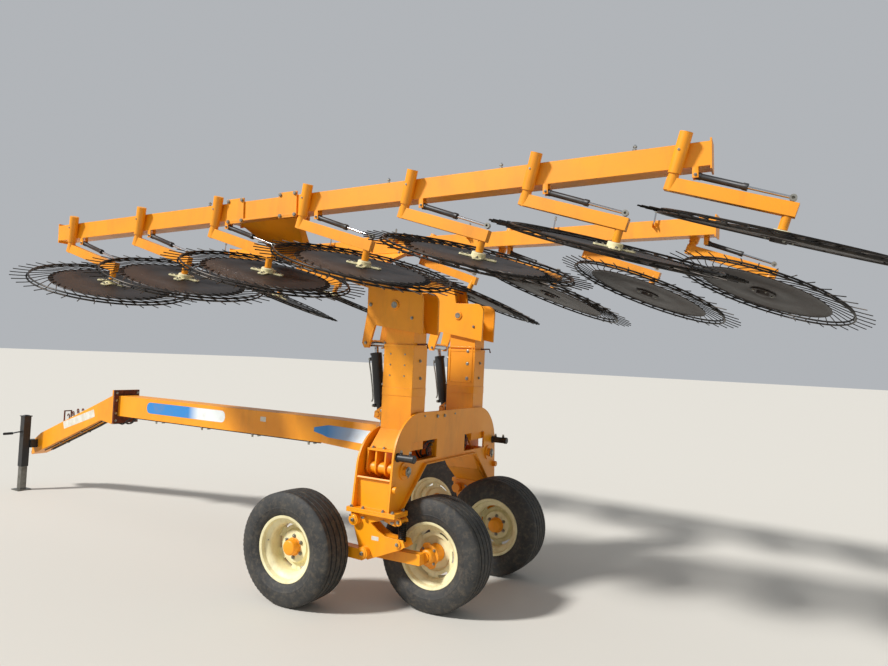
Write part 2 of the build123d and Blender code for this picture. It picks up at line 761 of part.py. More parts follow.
            Rectangle(*saddle_web_head)
        loft(ruled=True)
        pin_half = cheek_inside + cheek_thickness + 10
        pin_middle = Vector(station(pivot_x), pivot_y, pivot_z)
        add(rod(pin_middle - across * pin_half, pin_middle + across * pin_half, pivot_pin_radius))
    arm.part.label = f"arm_{side}"
    export_step(arm.part, f"parts/arm_{side}.step")

    axis = rake_axis(sign)
    with BuildPart() as boom_tube:
        with BuildSketch(Plane(origin=boom.origin, x_dir=boom.y_dir, z_dir=boom.x_dir)):
            Rectangle(boom_side, boom_side)
        extrude(amount=boom_length)
        for plate_at in (-end_plate_thickness, boom_length):
            start = in_boom(sign, plate_at, 0, 0)
            with BuildSketch(Plane(origin=start, x_dir=boom.y_dir, z_dir=boom.x_dir)):
                Rectangle(boom_side, boom_side + 2 * end_plate_rise)
            extrude(amount=end_plate_thickness)
        for number in range(1, wheels_per_boom + 1):
            middle = in_boom(sign, tube_place(number), boom_side / 2 + tube_radius - 6, 0)
            up = (boom_side / 2 + tube_above) / axis_up
            down = (boom_side / 2 + tube_below) / axis_up
            add(rod(middle - axis * down, middle + axis * up, tube_radius))
    boom_tube.part.label = f"boom_{side}"
    export_step(boom_tube.part, f"parts/boom_{side}.step")

    with BuildPart() as swing_arms:
        for number in range(1, wheels_per_boom + 1):
            middle = in_boom(sign, tube_place(number), boom_side / 2 + tube_radius - 6, 0)
            down = (boom_side / 2 + tube_below) / axis_up
            head_top = middle - axis * (down + seat_gap)
            hub = hub_centre(sign, number)
            stub_top = hub + axis * stub_height
            start = head_top - axis * (swing_arm_depth / 2 + swing_head_drop)
            run = (stub_top - start).normalized()
            add(bar(start - run * 30, stub_top + run * 40, swing_arm_width, swing_arm_depth, boom.y_dir))
            add(rod(stub_top, hub + axis * (rake_hub_height + seat_gap), stub_radius))
            add(rod(head_top, head_top - axis * (swing_arm_depth + swing_head_drop), swing_head_radius))
    swing_arms.part.label = f"swing_arms_{side}"
    export_step(swing_arms.part, f"parts/swing_arms_{side}.step")

    with BuildPart() as float_springs:
        for number in range(1, wheels_per_boom + 1):
            place = tube_place(number)
            start = in_boom(sign, place - 78, 44, -boom_side / 2 - seat_gap)
            low = in_boom(sign, place - 78, 44, -boom_side / 2 - 44)
            end = hub_centre(sign, number) + axis * (stub_height + 68) - boom.y_dir * sign * 30
            middle = low + (end - low) * spring_share
            add(bar(start, low, 20, 20, boom.y_dir))
            add(rod(low, middle, spring_radius))
            add(rod(middle, end, spring_rod_radius))
    float_springs.part.label = f"float_springs_{side}"
    export_step(float_springs.part, f"parts/float_springs_{side}.step")

# Tined wheel in its own frame: guard plate, ring and tines about Z
with BuildPart() as rake_wheel:
    with BuildSketch():
        RegularPolygon(guard_radius, rim_facets)
    extrude(amount=-guard_thickness)
    with BuildSketch(Plane.XY.offset(-guard_thickness / 2 - 30)):
        RegularPolygon(rake_hub_radius, 6)
    extrude(amount=rake_hub_height + 30 + guard_thickness / 2)
    with BuildSketch():
        RegularPolygon(ring_radius + ring_section / 2, rim_facets)
        RegularPolygon(ring_radius - ring_section / 2, rim_facets, mode=Mode.SUBTRACT)
    extrude(amount=-ring_section)
    with BuildSketch(Plane(origin=(tine_root_radius, 0, seat_gap), x_dir=(0, 1, 0), z_dir=(1, 0, 0))):
        Polygon((-tine_section / 2, 0), (tine_section / 2, 0), (0, tine_section), align=None)
    tine = extrude(amount=tine_tip_radius - tine_root_radius, mode=Mode.PRIVATE)
    with PolarLocations(0, tine_count):
        add(tine)

for side, sign in sides:
    axis = rake_axis(sign)
    for number in range(1, wheels_per_boom + 1):
        hub = hub_centre(sign, number)
        rearward = Vector(-1, 0, 0) - axis * Vector(-1, 0, 0).dot(axis)
        with BuildPart(Plane(origin=hub, x_dir=rearward, z_dir=axis)) as placed_wheel:
            add(rake_wheel.part)
        placed_wheel.part.label = f"rake_wheel_{side}_{number}"
        export_step(placed_wheel.part, f"parts/rake_wheel_{side}_{number}.step")

# Places that the joints turn about, in metres
print("axle", round(axle_x / 1000, 5))
for side, sign in sides:
    axis = rake_axis(sign)
    eye = head_frame(sign).from_local_coords(Vector(ear_x, sign * mast_y, ear_z))
    print("eye", side, [round(v / 1000, 5) for v in eye])
    print("axis", side, [round(v, 6) for v in axis])
    for number in range(1, wheels_per_boom + 1):
        print("hub", side, number, [round(v / 1000, 5) for v in hub_centre(sign, number)])
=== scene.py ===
import json
import math
from itertools import product

import bmesh
import bpy
from mathutils import Matrix, Vector


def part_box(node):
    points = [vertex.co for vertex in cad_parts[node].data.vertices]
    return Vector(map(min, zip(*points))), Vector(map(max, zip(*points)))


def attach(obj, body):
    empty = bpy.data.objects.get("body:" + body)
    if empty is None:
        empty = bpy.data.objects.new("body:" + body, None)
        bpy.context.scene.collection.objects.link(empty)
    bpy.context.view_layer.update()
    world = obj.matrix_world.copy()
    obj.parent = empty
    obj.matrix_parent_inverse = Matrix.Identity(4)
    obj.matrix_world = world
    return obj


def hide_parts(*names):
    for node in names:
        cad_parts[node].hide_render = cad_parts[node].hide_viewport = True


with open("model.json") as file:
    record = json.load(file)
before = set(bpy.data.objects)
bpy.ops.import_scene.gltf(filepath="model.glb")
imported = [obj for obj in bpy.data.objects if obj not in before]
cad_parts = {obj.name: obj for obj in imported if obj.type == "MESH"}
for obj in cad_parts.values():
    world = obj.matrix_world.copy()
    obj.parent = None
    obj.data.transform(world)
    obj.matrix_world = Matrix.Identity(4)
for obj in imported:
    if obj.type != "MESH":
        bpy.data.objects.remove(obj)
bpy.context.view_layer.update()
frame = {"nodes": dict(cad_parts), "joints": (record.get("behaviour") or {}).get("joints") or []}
nodes = frame["nodes"]
joints = {joint["name"]: joint for joint in frame["joints"]}
scene = bpy.context.scene
print("stage: frame loaded,", len(nodes), "solids' nodes")


# a dictionary whose values can also be read as attributes
class Look(dict):
    __getattr__ = dict.__getitem__


# sRGB hex to the linear colour that a shader socket takes
def linearColour(hexText, alpha=1.0):
    parts = [int(hexText[i:i + 2], 16) / 255 for i in (1, 3, 5)]
    return [p / 12.92 if p <= 0.04045 else ((p + 0.055) / 1.055) ** 2.4 for p in parts] + [alpha]


# a link's source is a socket, or a node whose first output is meant
def addNode(tree, kind, settings=None, links=None):
    node = tree.nodes.new("ShaderNode" + kind)
    for key, value in (settings or {}).items():
        if isinstance(key, str) and hasattr(node, key):
            setattr(node, key, value)
        else:
            node.inputs[key].default_value = value
    for key, source in (links or {}).items():
        tree.links.new(getattr(source, "outputs", (source,))[0], node.inputs[key])
    return node


# places that everything hangs on, read from the joints
sides = {"left": 1, "right": -1}
wheelAhead = 0.441
axleX = joints["roll_front_left"]["pos_m"][0] - wheelAhead
boomLook = Look(
    wheels=7, firstTube=0.156, tubePitch=0.871, tubeEnd=0.137, half=0.069, saddle=3.207, trail=0.495,
    hubOffset=0.061, hubDrop=0.5, axisRear=0.308, axisOut=0.155, axisUp=0.939,
)


def at(x, y, z):
    return Vector((axleX + x, y, z))


# a point by its radius and angle about Z and its place along it
def polar(radius, angle, along=0.0):
    return Vector((radius * math.cos(angle), radius * math.sin(angle), along))


# the boom's own frame comes from its first and last hubs and the wheels' axis
def boomFrame(side):
    sign = sides[side]
    first = Vector(joints[f"spin_{side}_1"]["pos_m"])
    last = Vector(joints[f"spin_{side}_{boomLook.wheels}"]["pos_m"])
    axis = Vector(joints[f"spin_{side}_1"]["axis"])
    ahead = (first - last).normalized()
    across = axis + boomLook.axisRear * ahead
    up = (boomLook.axisUp * across + sign * boomLook.axisOut * ahead.cross(across)).normalized()
    out = sign * up.cross(ahead)
    origin = last - (boomLook.firstTube - boomLook.trail) * ahead - boomLook.hubOffset * out
    return {"origin": origin + boomLook.hubDrop * up, "ahead": ahead, "out": out, "up": up, "axis": axis}


booms = {side: boomFrame(side) for side in sides}


def onBoom(side, along, outboard, up):
    boom = booms[side]
    return boom["origin"] + along * boom["ahead"] + outboard * boom["out"] + up * boom["up"]


def axesAt(place, x, y, z):
    placed = Matrix((x, y, z)).transposed().to_4x4()
    placed.translation = place
    return placed


# a frame with Z along a direction, and X as near as can be to a second one
def standOn(place, direction, towards=(0, 0, 1)):
    z = Vector(direction).normalized()
    x = Vector(towards) - z * Vector(towards).dot(z)
    if x.length < 1e-4:
        x = z.orthogonal()
    x.normalize()
    return axesAt(place, x, z.cross(x), z)


# a frame on one side of the machine that looks outwards, or inwards if its way is -1
def facing(sign, x, y, z, way=1, towards=(0, 0, 1)):
    return standOn(at(x, sign * y, z), (0, sign * way, 0), towards)


def startMaterial(name):
    material = bpy.data.materials.new(name)
    material.use_nodes = True
    tree = material.node_tree
    tree.nodes.clear()
    return material, tree, addNode(tree, "TexCoord").outputs["Object"]


# one colour over another, a hex or a socket, where a noise runs high; gives the colour and the noise
def layOver(tree, coords, under, over, sizeMm, low, high, most, detail, roughness=0.5):
    noise = addNode(tree, "TexNoise", {"Scale": 1000 / sizeMm, "Detail": detail, "Roughness": roughness},
                    {"Vector": coords})
    share = addNode(tree, "MapRange", {"From Min": low, "From Max": high, "To Max": most}, {"Value": noise})
    settings, links = {"data_type": "RGBA", 7: linearColour(over)}, {0: share}
    if isinstance(under, str):
        settings[6] = linearColour(under)
    else:
        links[6] = under
    return addNode(tree, "Mix", settings, links).outputs[2], noise


def endMaterial(material, tree, settings, links):
    shader = addNode(tree, "BsdfPrincipled", settings, links)
    addNode(tree, "OutputMaterial", {}, {"Surface": shader})
    return material


# one builder for painted and bare metal. Patches of fading, dirt in streaks and wear on the edges each hold a
# colour, sizes in mm and a largest share; grain holds mm and strength, rough a middle and the spread about it
def weatheredSurface(name, look):
    material, tree, coords = startMaterial(name)
    patchHex, patchMm, patchMost = look.patch
    colour, patches = layOver(tree, coords, look.base, patchHex, patchMm, 0.38, 0.66, patchMost, 5.0, 0.6)
    if "dirt" in look:
        dirtHex, dirtMm, dirtMost = look.dirt
        stretched = addNode(tree, "Mapping", {"Scale": look.get("streak", (1, 1, 0.25))}, {"Vector": coords})
        colour = layOver(tree, stretched, colour, dirtHex, dirtMm, 0.5, 0.78, dirtMost, 8.0, 0.7)[0]
    grainMm, strength = look.grain
    grain = addNode(tree, "TexNoise", {"Scale": 1000 / grainMm, "Detail": 3.0}, {"Vector": coords})
    bump = addNode(tree, "Bump", {"Strength": strength, "Distance": grainMm / 4000}, {"Height": grain})
    if "wear" in look:
        wearHex, wearMm, chipMm, wearMost = look.wear
        rounded = addNode(tree, "Bevel", {"samples": 4, "Radius": wearMm / 1000})
        tree.links.new(rounded.outputs[0], bump.inputs["Normal"])
        flat = addNode(tree, "NewGeometry").outputs["True Normal"]
        turned = addNode(tree, "VectorMath", {"operation": "DOT_PRODUCT"}, {0: rounded, 1: flat})
        edge = addNode(tree, "MapRange", {"From Min": 0.985, "From Max": 0.86}, {"Value": turned.outputs[1]})
        chips = addNode(tree, "TexNoise", {"Scale": 1000 / chipMm, "Detail": 6.0}, {"Vector": coords})
        share = addNode(tree, "MapRange", {"From Min": 0.5, "From Max": 0.62, "To Max": wearMost},
                        {"Value": chips})
        worn = addNode(tree, "Math", {"operation": "MULTIPLY"}, {0: edge, 1: share})
        wear = {"data_type": "RGBA", 7: linearColour(wearHex)}
        colour = addNode(tree, "Mix", wear, {0: worn, 6: colour}).outputs[2]
    middle, spread = look.rough
    roughness = addNode(tree, "MapRange", {"To Min": middle - spread, "To Max": middle + spread},
                        {"Value": patches})
    gloss = {"Metallic": look.get("metallic", 0), "Coat Weight": look.get("coat", 0), "Coat Roughness": 0.12}
    return endMaterial(material, tree, gloss, {"Base Color": colour, "Roughness": roughness, "Normal": bump})


# implement enamel sprayed on steel: an even gloss, chalky in the sun, grime in runs, chips at the edges
orangeEnamel = weatheredSurface("orangeEnamel", Look(
    base="#f59d08", patch=("#e88c0c", 420, 0.6), dirt=("#7a5426", 160, 0.3),
    wear=("#5d3216", 4, 30, 0.75), grain=(3, 0.08), rough=(0.45, 0.12), coat=0.1))
# the same enamel on rolled steel sheet of the wheels, in cream, with road dust in the dish
creamEnamel = weatheredSurface("creamEnamel", Look(
    base="#e9e0b4", patch=("#d8cb98", 90, 0.7), dirt=("#8a7046", 60, 0.45),
    wear=("#7a5a34", 3, 20, 0.6), grain=(4, 0.08), rough=(0.5, 0.1)))
# satin black paint on tube, greyed by dust
blackPaint = weatheredSurface("blackPaint", Look(
    base="#191a1c", patch=("#2b2b2b", 120, 0.7), dirt=("#5b5140", 90, 0.35),
    wear=("#6d6a62", 3, 25, 0.5), grain=(3, 0.12), rough=(0.45, 0.12)))
# red primer and rust where the paint has gone from a hitch, plates and hooks: dull, rough and patchy
rustedSteel = weatheredSurface("rustedSteel", Look(
    base="#6e3217", patch=("#3c1f12", 45, 0.9), dirt=("#a0562a", 25, 0.6), streak=(1, 1, 1),
    grain=(5, 0.5), rough=(0.82, 0.1)))
# hot-rolled sheet scoured by hay: near black, brown where it lies in the weather
darkSheet = weatheredSurface("darkSheet", Look(
    base="#27211e", patch=("#352b26", 140, 0.9), dirt=("#57493b", 50, 0.3), streak=(1, 1, 1),
    grain=(6, 0.12), rough=(0.55, 0.12), metallic=0.35))
# oil-hardened spring wire scoured by hay: black with a low shine
springWire = weatheredSurface("springWire", Look(
    base="#1b1a19", patch=("#3a332c", 60, 0.8), grain=(3, 0.1), rough=(0.42, 0.12), metallic=0.8))
# hard chrome on the rods: a clear mirror with a faint film of oil
hardChrome = weatheredSurface("hardChrome", Look(
    base="#c9ccd0", patch=("#b4b6b8", 80, 0.6), grain=(2, 0.02), rough=(0.14, 0.05), metallic=1.0))
# zinc plate on bolts and nuts: bright grey, a little blotched
zincPlate = weatheredSurface("zincPlate", Look(
    base="#a9a89f", patch=("#7d786c", 14, 0.8), grain=(2, 0.06), rough=(0.36, 0.1), metallic=0.9))
# bare drawn steel of the jack's leg, dull
weatheredSurface("dullSteel", Look(
    base="#85847e", patch=("#5f5a50", 70, 0.8), dirt=("#5a4630", 40, 0.4), grain=(3, 0.1),
    rough=(0.45, 0.1), metallic=0.85))
# braided hydraulic hose: nitrile cover, matt
hoseRubber = weatheredSurface("hoseRubber", Look(
    base="#151515", patch=("#2a2825", 60, 0.7), grain=(2, 0.15), rough=(0.62, 0.1)))
# cast vinyl film of the blank plates: flat, smooth, yellowed by dust
whiteFilm = weatheredSurface("whiteFilm", Look(
    base="#d9d5ca", patch=("#c4bda9", 50, 0.7), dirt=("#a98a52", 40, 0.35), grain=(3, 0.03),
    rough=(0.4, 0.08)))


# vulcanised rubber of a tyre: black, dust in the grooves and a brown-grey bloom on the walls
def tyreRubber(name, look):
    material, tree, coords = startMaterial(name)
    bloomHex, bloomMm = look.bloom
    dustHex, dustMm, dustMost = look.dust
    colour, bloom = layOver(tree, coords, look.base, bloomHex, bloomMm, 0.35, 0.7, 1, 6.0, 0.65)
    colour = layOver(tree, coords, colour, dustHex, dustMm, 0.48, 0.72, dustMost, 8.0, 0.75)[0]
    grain = addNode(tree, "TexNoise", {"Scale": 1000 / look.grainMm, "Detail": 2.0}, {"Vector": coords})
    bump = addNode(tree, "Bump", {"Strength": 0.2, "Distance": 0.001}, {"Height": grain})
    roughness = addNode(tree, "MapRange", {"To Min": 0.55, "To Max": 0.85}, {"Value": bloom})
    return endMaterial(material, tree, {}, {"Base Color": colour, "Roughness": roughness, "Normal": bump})


tyreBlack = tyreRubber("tyreRubber", Look(
    base="#232323", bloom=("#3a3936", 120), dust=("#7b6d58", 35, 0.4), grainMm=5))


# printed vinyl band: blue that runs to pale at one end, along X, under grime
def bandFilm(name, look):
    material, tree, coords = startMaterial(name)
    along = addNode(tree, "SeparateXYZ", {}, {0: coords})
    ends = {"From Min": axleX + look.blueX, "From Max": axleX + look.paleX}
    share = addNode(tree, "MapRange", ends, {"Value": along})
    twoTones = {"data_type": "RGBA", 6: linearColour("#2c80c4"), 7: linearColour("#e2e6e4")}
    colour = addNode(tree, "Mix", twoTones, {0: share}).outputs[2]
    colour = layOver(tree, coords, colour, "#8d7446", look.grimeMm, 0.55, 0.8, 0.35, 6.0)[0]
    return endMaterial(material, tree, {"Roughness": 0.35}, {"Base Color": colour})


print("stage: materials made")


def finishPiece(shape, name, materials, body, smoothDegrees=38):
    bmesh.ops.recalc_face_normals(shape, faces=shape.faces)
    mesh = bpy.data.meshes.new(name)
    shape.to_mesh(mesh)
    shape.free()
    for material in materials:
        mesh.materials.append(material)
    mesh.shade_smooth()
    mesh.set_sharp_from_angle(angle=math.radians(smoothDegrees))
    piece = bpy.data.objects.new(name, mesh)
    scene.collection.objects.link(piece)
    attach(piece, body)
    return piece


# quads between two rows of vertices, from the last one round to the first unless left open
def bridge(shape, rowA, rowB, material=0, closed=True):
    count = len(rowA)
    for index in range(count if closed else count - 1):
        after = (index + 1) % count
        face = shape.faces.new((rowA[index], rowA[after], rowB[after], rowB[index]))
        face.material_index = material


def capEnds(shape, first, last, material):
    for end in (first[::-1], last):
        shape.faces.new(end).material_index = material


# revolve a list of (along, radius) about a frame's Z; ripple may move a point by its place round the turn
def lathe(shape, placed, profile, segments, material=0, ripple=None, closed=True):
    rings = []
    for turn in range(segments):
        angle = 2 * math.pi * turn / segments
        points = [ripple(turn, *point) for point in profile] if ripple else profile
        rings.append([shape.verts.new(placed @ polar(radius, angle, along)) for along, radius in points])
    for here, there in zip(rings, rings[1:] + rings[:1]):
        bridge(shape, here, there, material, closed)


# a solid turned part: its profile also runs in to the axis at both ends
def turnSolid(shape, placed, profile, segments, material=0, core=0.001):
    ends = (profile[0][0], core), (profile[-1][0], core)
    lathe(shape, placed, [ends[0], *profile, ends[1]], segments, material)


# the plainest lathe: a round plug, or a ring if it is given an inner radius
def collar(shape, placed, low, high, radius, segments, material=0, inner=0.001):
    lathe(shape, placed, [(low, inner), (low, radius), (high, radius), (high, inner)], segments, material)


# a round bar of constant radius along points
def sweep(shape, points, radius, sidesCount=8, material=0, loop=False):
    points = [Vector(point) for point in points]
    last = len(points) - 1
    rings = []
    normal = None
    for index, point in enumerate(points):
        if loop:
            run = points[(index + 1) % len(points)] - points[index - 1]
        else:
            run = points[min(index + 1, last)] - points[max(index - 1, 0)]
        run.normalize()
        normal = (run.orthogonal() if normal is None else normal - run * normal.dot(run)).normalized()
        other = run.cross(normal)
        turns = [2 * math.pi * turn / sidesCount for turn in range(sidesCount)]
        ring = [point + radius * (math.cos(angle) * normal + math.sin(angle) * other) for angle in turns]
        rings.append([shape.verts.new(spot) for spot in ring])
    for here, there in zip(rings, rings[1:]):
        bridge(shape, here, there, material)
    if loop:
        bridge(shape, rings[-1], rings[0], material)
    else:
        capEnds(shape, rings[0], rings[-1], material)


# a flat outline given in a frame's X and Y, with a thickness along its Z
def slab(shape, placed, outline, thickness, material=0):
    low, high = ([shape.verts.new(placed @ Vector((x, y, z))) for x, y in outline] for z in (0, thickness))
    bridge(shape, low, high, material)
    capEnds(shape, low, high, material)


def oblong(lowX, highX, lowY, highY):
    return [(lowX, lowY), (highX, lowY), (highX, highY), (lowX, highY)]


def roundedRectangle(width, height, radius, steps=4):
    outline = []
    for quarter, (wayX, wayY) in enumerate(((1, 1), (-1, 1), (-1, -1), (1, -1))):
        for step in range(steps + 1):
            angle = math.radians(90 * quarter + 90 * step / steps)
            outline.append((wayX * (width / 2 - radius) + radius * math.cos(angle),
                            wayY * (height / 2 - radius) + radius * math.sin(angle)))
    return outline


def hexagon(reach):
    return [polar(reach, math.radians(60 * corner)).xy for corner in range(6)]


# a thickness and a rounded rectangle's sizes make a flat pad centred on its frame
def addPad(shape, placed, thickness, size, material=0):
    slab(shape, placed, roundedRectangle(*size), thickness, material)


# a flat bar from one point to another, its width along a direction
def flatBar(shape, start, end, width, thickness, towards, material=0):
    run = end - start
    size = width, thickness, min(width, thickness) * 0.2, 2
    addPad(shape, standOn(start, run, towards), run.length, size, material)


# points along a smooth bend through a few given ones
def bend(points, steps=6):
    points = [Vector(point) for point in points]
    padded = [2 * points[0] - points[1]] + points + [2 * points[-1] - points[-2]]
    route = []
    for index in range(1, len(padded) - 2):
        a, b, c, d = padded[index - 1:index + 3]
        for step in range(steps):
            t = step / steps
            square, cube = 2 * a - 5 * b + 4 * c - d, 3 * b - a - 3 * c + d
            route.append(0.5 * (2 * b + (c - a) * t + square * t * t + cube * t ** 3))
    return route + [points[-1]]


# washer, hexagon head with a chamfered crown or a nut with its thread's end, in shares of the bolt's size;
# callers give each one a turn of its own, so that no two stand alike
boltLook = Look(
    washer=1.05, washerThick=0.18, head=0.95, height=0.62, crown=((0.0, 0.798), (0.12, 0.57)),
    thread=((0.0, 0.48), (0.35, 0.48), (0.42, 0.4)),
)


def addBolt(shape, place, direction, size, turn=0.0, nut=False, material=0):
    placed = standOn(place, direction) @ Matrix.Rotation(turn, 4, "Z")
    core, sunk = 0.0001, 0.001
    washer, thick = boltLook.washer * size, boltLook.washerThick * size
    height = boltLook.height * size
    lathe(shape, placed, [(0, core), (0, washer), (thick, washer), (thick, core)], 18, material, closed=False)
    slab(shape, placed @ Matrix.Translation((0, 0, thick)), hexagon(boltLook.head * size), height - 0.0005,
         material)
    end = [(thick + height + along * size, radius * size)
           for along, radius in boltLook["thread" if nut else "crown"]]
    root = thick + height - sunk
    end = [(root, core), (root, end[0][1])] + end[1:] + [(end[-1][0], core)]
    lathe(shape, placed, end, 12, material, closed=False)


# carried-over nodes get their finish
finishes = {
    "orangeEnamel": ("chassis", "tongue", "gooseneck", "walking_beam", "mast", "arm", "boom", "swing_arms",
                     "fold_pin"),
    "blackPaint": ("jack_tube", "nod_barrel"),
    "rustedSteel": ("hitch", "hose_rack"),
    "hardChrome": ("nod_rod",),
    "dullSteel": ("jack_leg",),
}
for finish, prefixes in finishes.items():
    for name, node in nodes.items():
        if name.startswith(prefixes):
            node.data.materials.clear()
            node.data.materials.append(bpy.data.materials[finish])

# ground wheels; a wall runs from the shoulder to the bead as (along, radius)
tyreLook = Look(
    tread=0.4, crown=0.0035, shoulder=0.108, segments=144, grooves=(-0.074, -0.026, 0.026, 0.074),
    grooveHalf=0.0045, grooveEdge=0.0015, grooveDeep=0.009,
    wall=((0.1085, 0.3965), (0.116, 0.3925), (0.1225, 0.384), (0.128, 0.371), (0.133, 0.352), (0.1375, 0.328),
        (0.139, 0.306), (0.1375, 0.293), (0.1388, 0.2905), (0.1372, 0.288), (0.133, 0.268), (0.126, 0.252),
        (0.117, 0.241), (0.109, 0.2345), (0.1, 0.2285)),
    ribLow=0.366, ribHigh=0.3938, ribFrom=0.112, ribShare=0.975, ribDeep=0.002,
)


def mirroredProfile(profile):
    return [(-along, radius) for along, radius in reversed(profile)]


def tyreProfile():
    half, edge, deep = (tyreLook[key] for key in ("grooveHalf", "grooveEdge", "grooveDeep"))
    tread = []
    for groove in tyreLook.grooves:
        for step, sunk in ((-half - edge, 0), (-half, deep), (half, deep), (half + edge, 0)):
            along = groove + step
            fall = tyreLook.crown * (along / tyreLook.shoulder) ** 2
            tread.append((along, tyreLook.tread - fall - sunk))
    return mirroredProfile(tyreLook.wall) + tread + list(tyreLook.wall)


# notches round the shoulders, where the mould left short ribs
def shoulderRipple(turn, along, radius):
    if turn % 2 and tyreLook.ribLow < radius < tyreLook.ribHigh and abs(along) > tyreLook.ribFrom:
        return along * tyreLook.ribShare, radius - tyreLook.ribDeep
    return along, radius


# a rim's outer and inner lines from its lip to its well, the disc's stations as (radius, height), and its cap
rimLook = Look(
    outer=((0.111, 0.236), (0.108, 0.232), (0.105, 0.22), (0.081, 0.214), (0.066, 0.188), (0.053, 0.176)),
    inner=((0.114, 0.234), (0.113, 0.228), (0.109, 0.216), (0.083, 0.208), (0.069, 0.18), (0.051, 0.17)),
    disc=((0.05, 0.01), (0.0762, 0.01), (0.1, 0.01), (0.112, 0.007), (0.126, -0.02), (0.15, -0.028),
        (0.17, -0.024)),
    discThick=0.007, segments=96, discSegments=72, lugCircle=0.0762, lugFace=0.01, lugs=6, lugSize=0.0135,
    valve=((0.03, 0.196, 0.03), (0.03, 0.19, 0.06), (0.03, 0.178, 0.085)), stem=0.0045,
    cap=((0.008, 0.064), (0.016, 0.064), (0.018, 0.058), (0.06, 0.05394), (0.067, 0.04988), (0.07, 0.04292)),
    hub=((0.002, 0.066), (-0.02, 0.062), (-0.065, 0.045), (-0.09, 0.04)), core=0.0005,
)


def rimProfile():
    outer, inner = rimLook.outer, rimLook.inner
    return list(outer) + mirroredProfile(outer) + mirroredProfile(inner[::-1]) + list(inner[::-1])


# pressed disc, raised towards the dish at the lugs, with six hand holes in its outermost band
def addDisc(shape, placed):
    stations, segments = rimLook.disc, rimLook.discSegments
    bands = len(stations) - 1
    perHole = segments // 6
    thickness = placed.to_3x3() @ Vector((0, 0, -rimLook.discThick))
    made = {}

    def vertex(turn, index, back):
        key = (turn % segments, index, back)
        if key not in made:
            radius, height = stations[index]
            spot = placed @ polar(radius, 2 * math.pi * key[0] / segments, height)
            made[key] = shape.verts.new(spot + thickness if back else spot)
        return made[key]

    def cutOut(turn, index):
        return index == bands - 1 and 2 < turn % perHole < 9

    for turn, index in product(range(segments), range(bands)):
        if cutOut(turn, index):
            continue
        corners = [(turn, index), (turn + 1, index), (turn + 1, index + 1), (turn, index + 1)]
        shape.faces.new([vertex(*corner, False) for corner in corners])
        shape.faces.new([vertex(*corner, True) for corner in corners[::-1]])
        neighbours = ((turn, index - 1), (turn + 1, index), (turn, index + 1), (turn - 1, index))
        for p, q, beside in zip(corners, corners[1:] + corners[:1], neighbours):
            if not 0 <= beside[1] < bands or cutOut(*beside):
                shape.faces.new((vertex(*p, False), vertex(*p, True), vertex(*q, True), vertex(*q, False)))


# which way from the axle, and how far out; the front wheels' dishes face outwards, the rear ones' inwards
wheelRows = {"front": (1, 1.021), "rear": (-1, 0.513)}
for (side, sign), (row, (way, y)) in product(sides.items(), wheelRows.items()):
    placed = facing(sign, way * wheelAhead, y, tyreLook.tread, way)
    name = f"{row}_{side}"
    body = f"wheel_{name}"
    shape = bmesh.new()
    lathe(shape, placed, tyreProfile(), tyreLook.segments, ripple=shoulderRipple)
    tyre = finishPiece(shape, f"tread_{name}", [tyreBlack], body, 30)
    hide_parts(f"tyre_{name}")
    shape = bmesh.new()
    lathe(shape, placed, rimProfile(), rimLook.segments)
    addDisc(shape, placed)
    rim = finishPiece(shape, f"dishedRim_{name}", [creamEnamel], body, 40)
    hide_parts(f"rim_{name}")
    shape = bmesh.new()
    for lug in range(rimLook.lugs):
        place = placed @ polar(rimLook.lugCircle, 2 * math.pi * lug / rimLook.lugs, rimLook.lugFace)
        addBolt(shape, place, (0, sign * way, 0), rimLook.lugSize, lug * 0.4, nut=True)
    sweep(shape, [placed @ Vector(point) for point in rimLook.valve], rimLook.stem)
    finishPiece(shape, f"lugNuts_{name}", [zincPlate], body)
    shape = bmesh.new()
    for part in ("cap", "hub"):
        turnSolid(shape, placed, rimLook[part], 40, core=rimLook.core)
    finishPiece(shape, f"hubCap_{name}", [orangeEnamel], body)
print("stage: ground wheels made")

# tined wheels: guard plate, two rings, forty tines as (radius, lead in degrees), hub with its cross
tinedLook = Look(
    plate=((-0.0005, 0.03), (-0.001, 0.13), (-0.006, 0.15), (-0.006, 0.29), (-0.002, 0.31), (-0.004, 0.44),
        (-0.004, 0.481), (-0.009, 0.485), (-0.012, 0.483), (-0.0075, 0.477), (-0.0075, 0.44), (-0.005, 0.31),
        (-0.009, 0.29), (-0.009, 0.15), (-0.004, 0.13), (-0.0035, 0.03)),
    rings=((-0.0095, 0.636), (0.0095, 0.624)), ringWire=0.007, ringSegments=96, tines=40, tineWire=0.0037,
    tineHeight=0.0005,
    tine=((0.446, -20.0), (0.475, -18.0), (0.505, -14.5), (0.545, -9.0), (0.59, -4.0), (0.636, 0.0),
        (0.69, 1.3), (0.757, 1.9)),
    hubFront=((0.0, 0.048), (0.034, 0.046), (0.038, 0.042)),
    hubRear=((-0.009, 0.095), (-0.014, 0.093), (-0.014, 0.05), (-0.03, 0.045), (-0.032, 0.04)),
    cross=(0.008, (0.25, 0.055, 0.012)), crossLow=0.002, crossTurn=0.4, boltSize=0.009,
    frontBolts=(0.072, 0.108), frontFace=0.01, rearBolts=0.072, rearFace=-0.014,
)


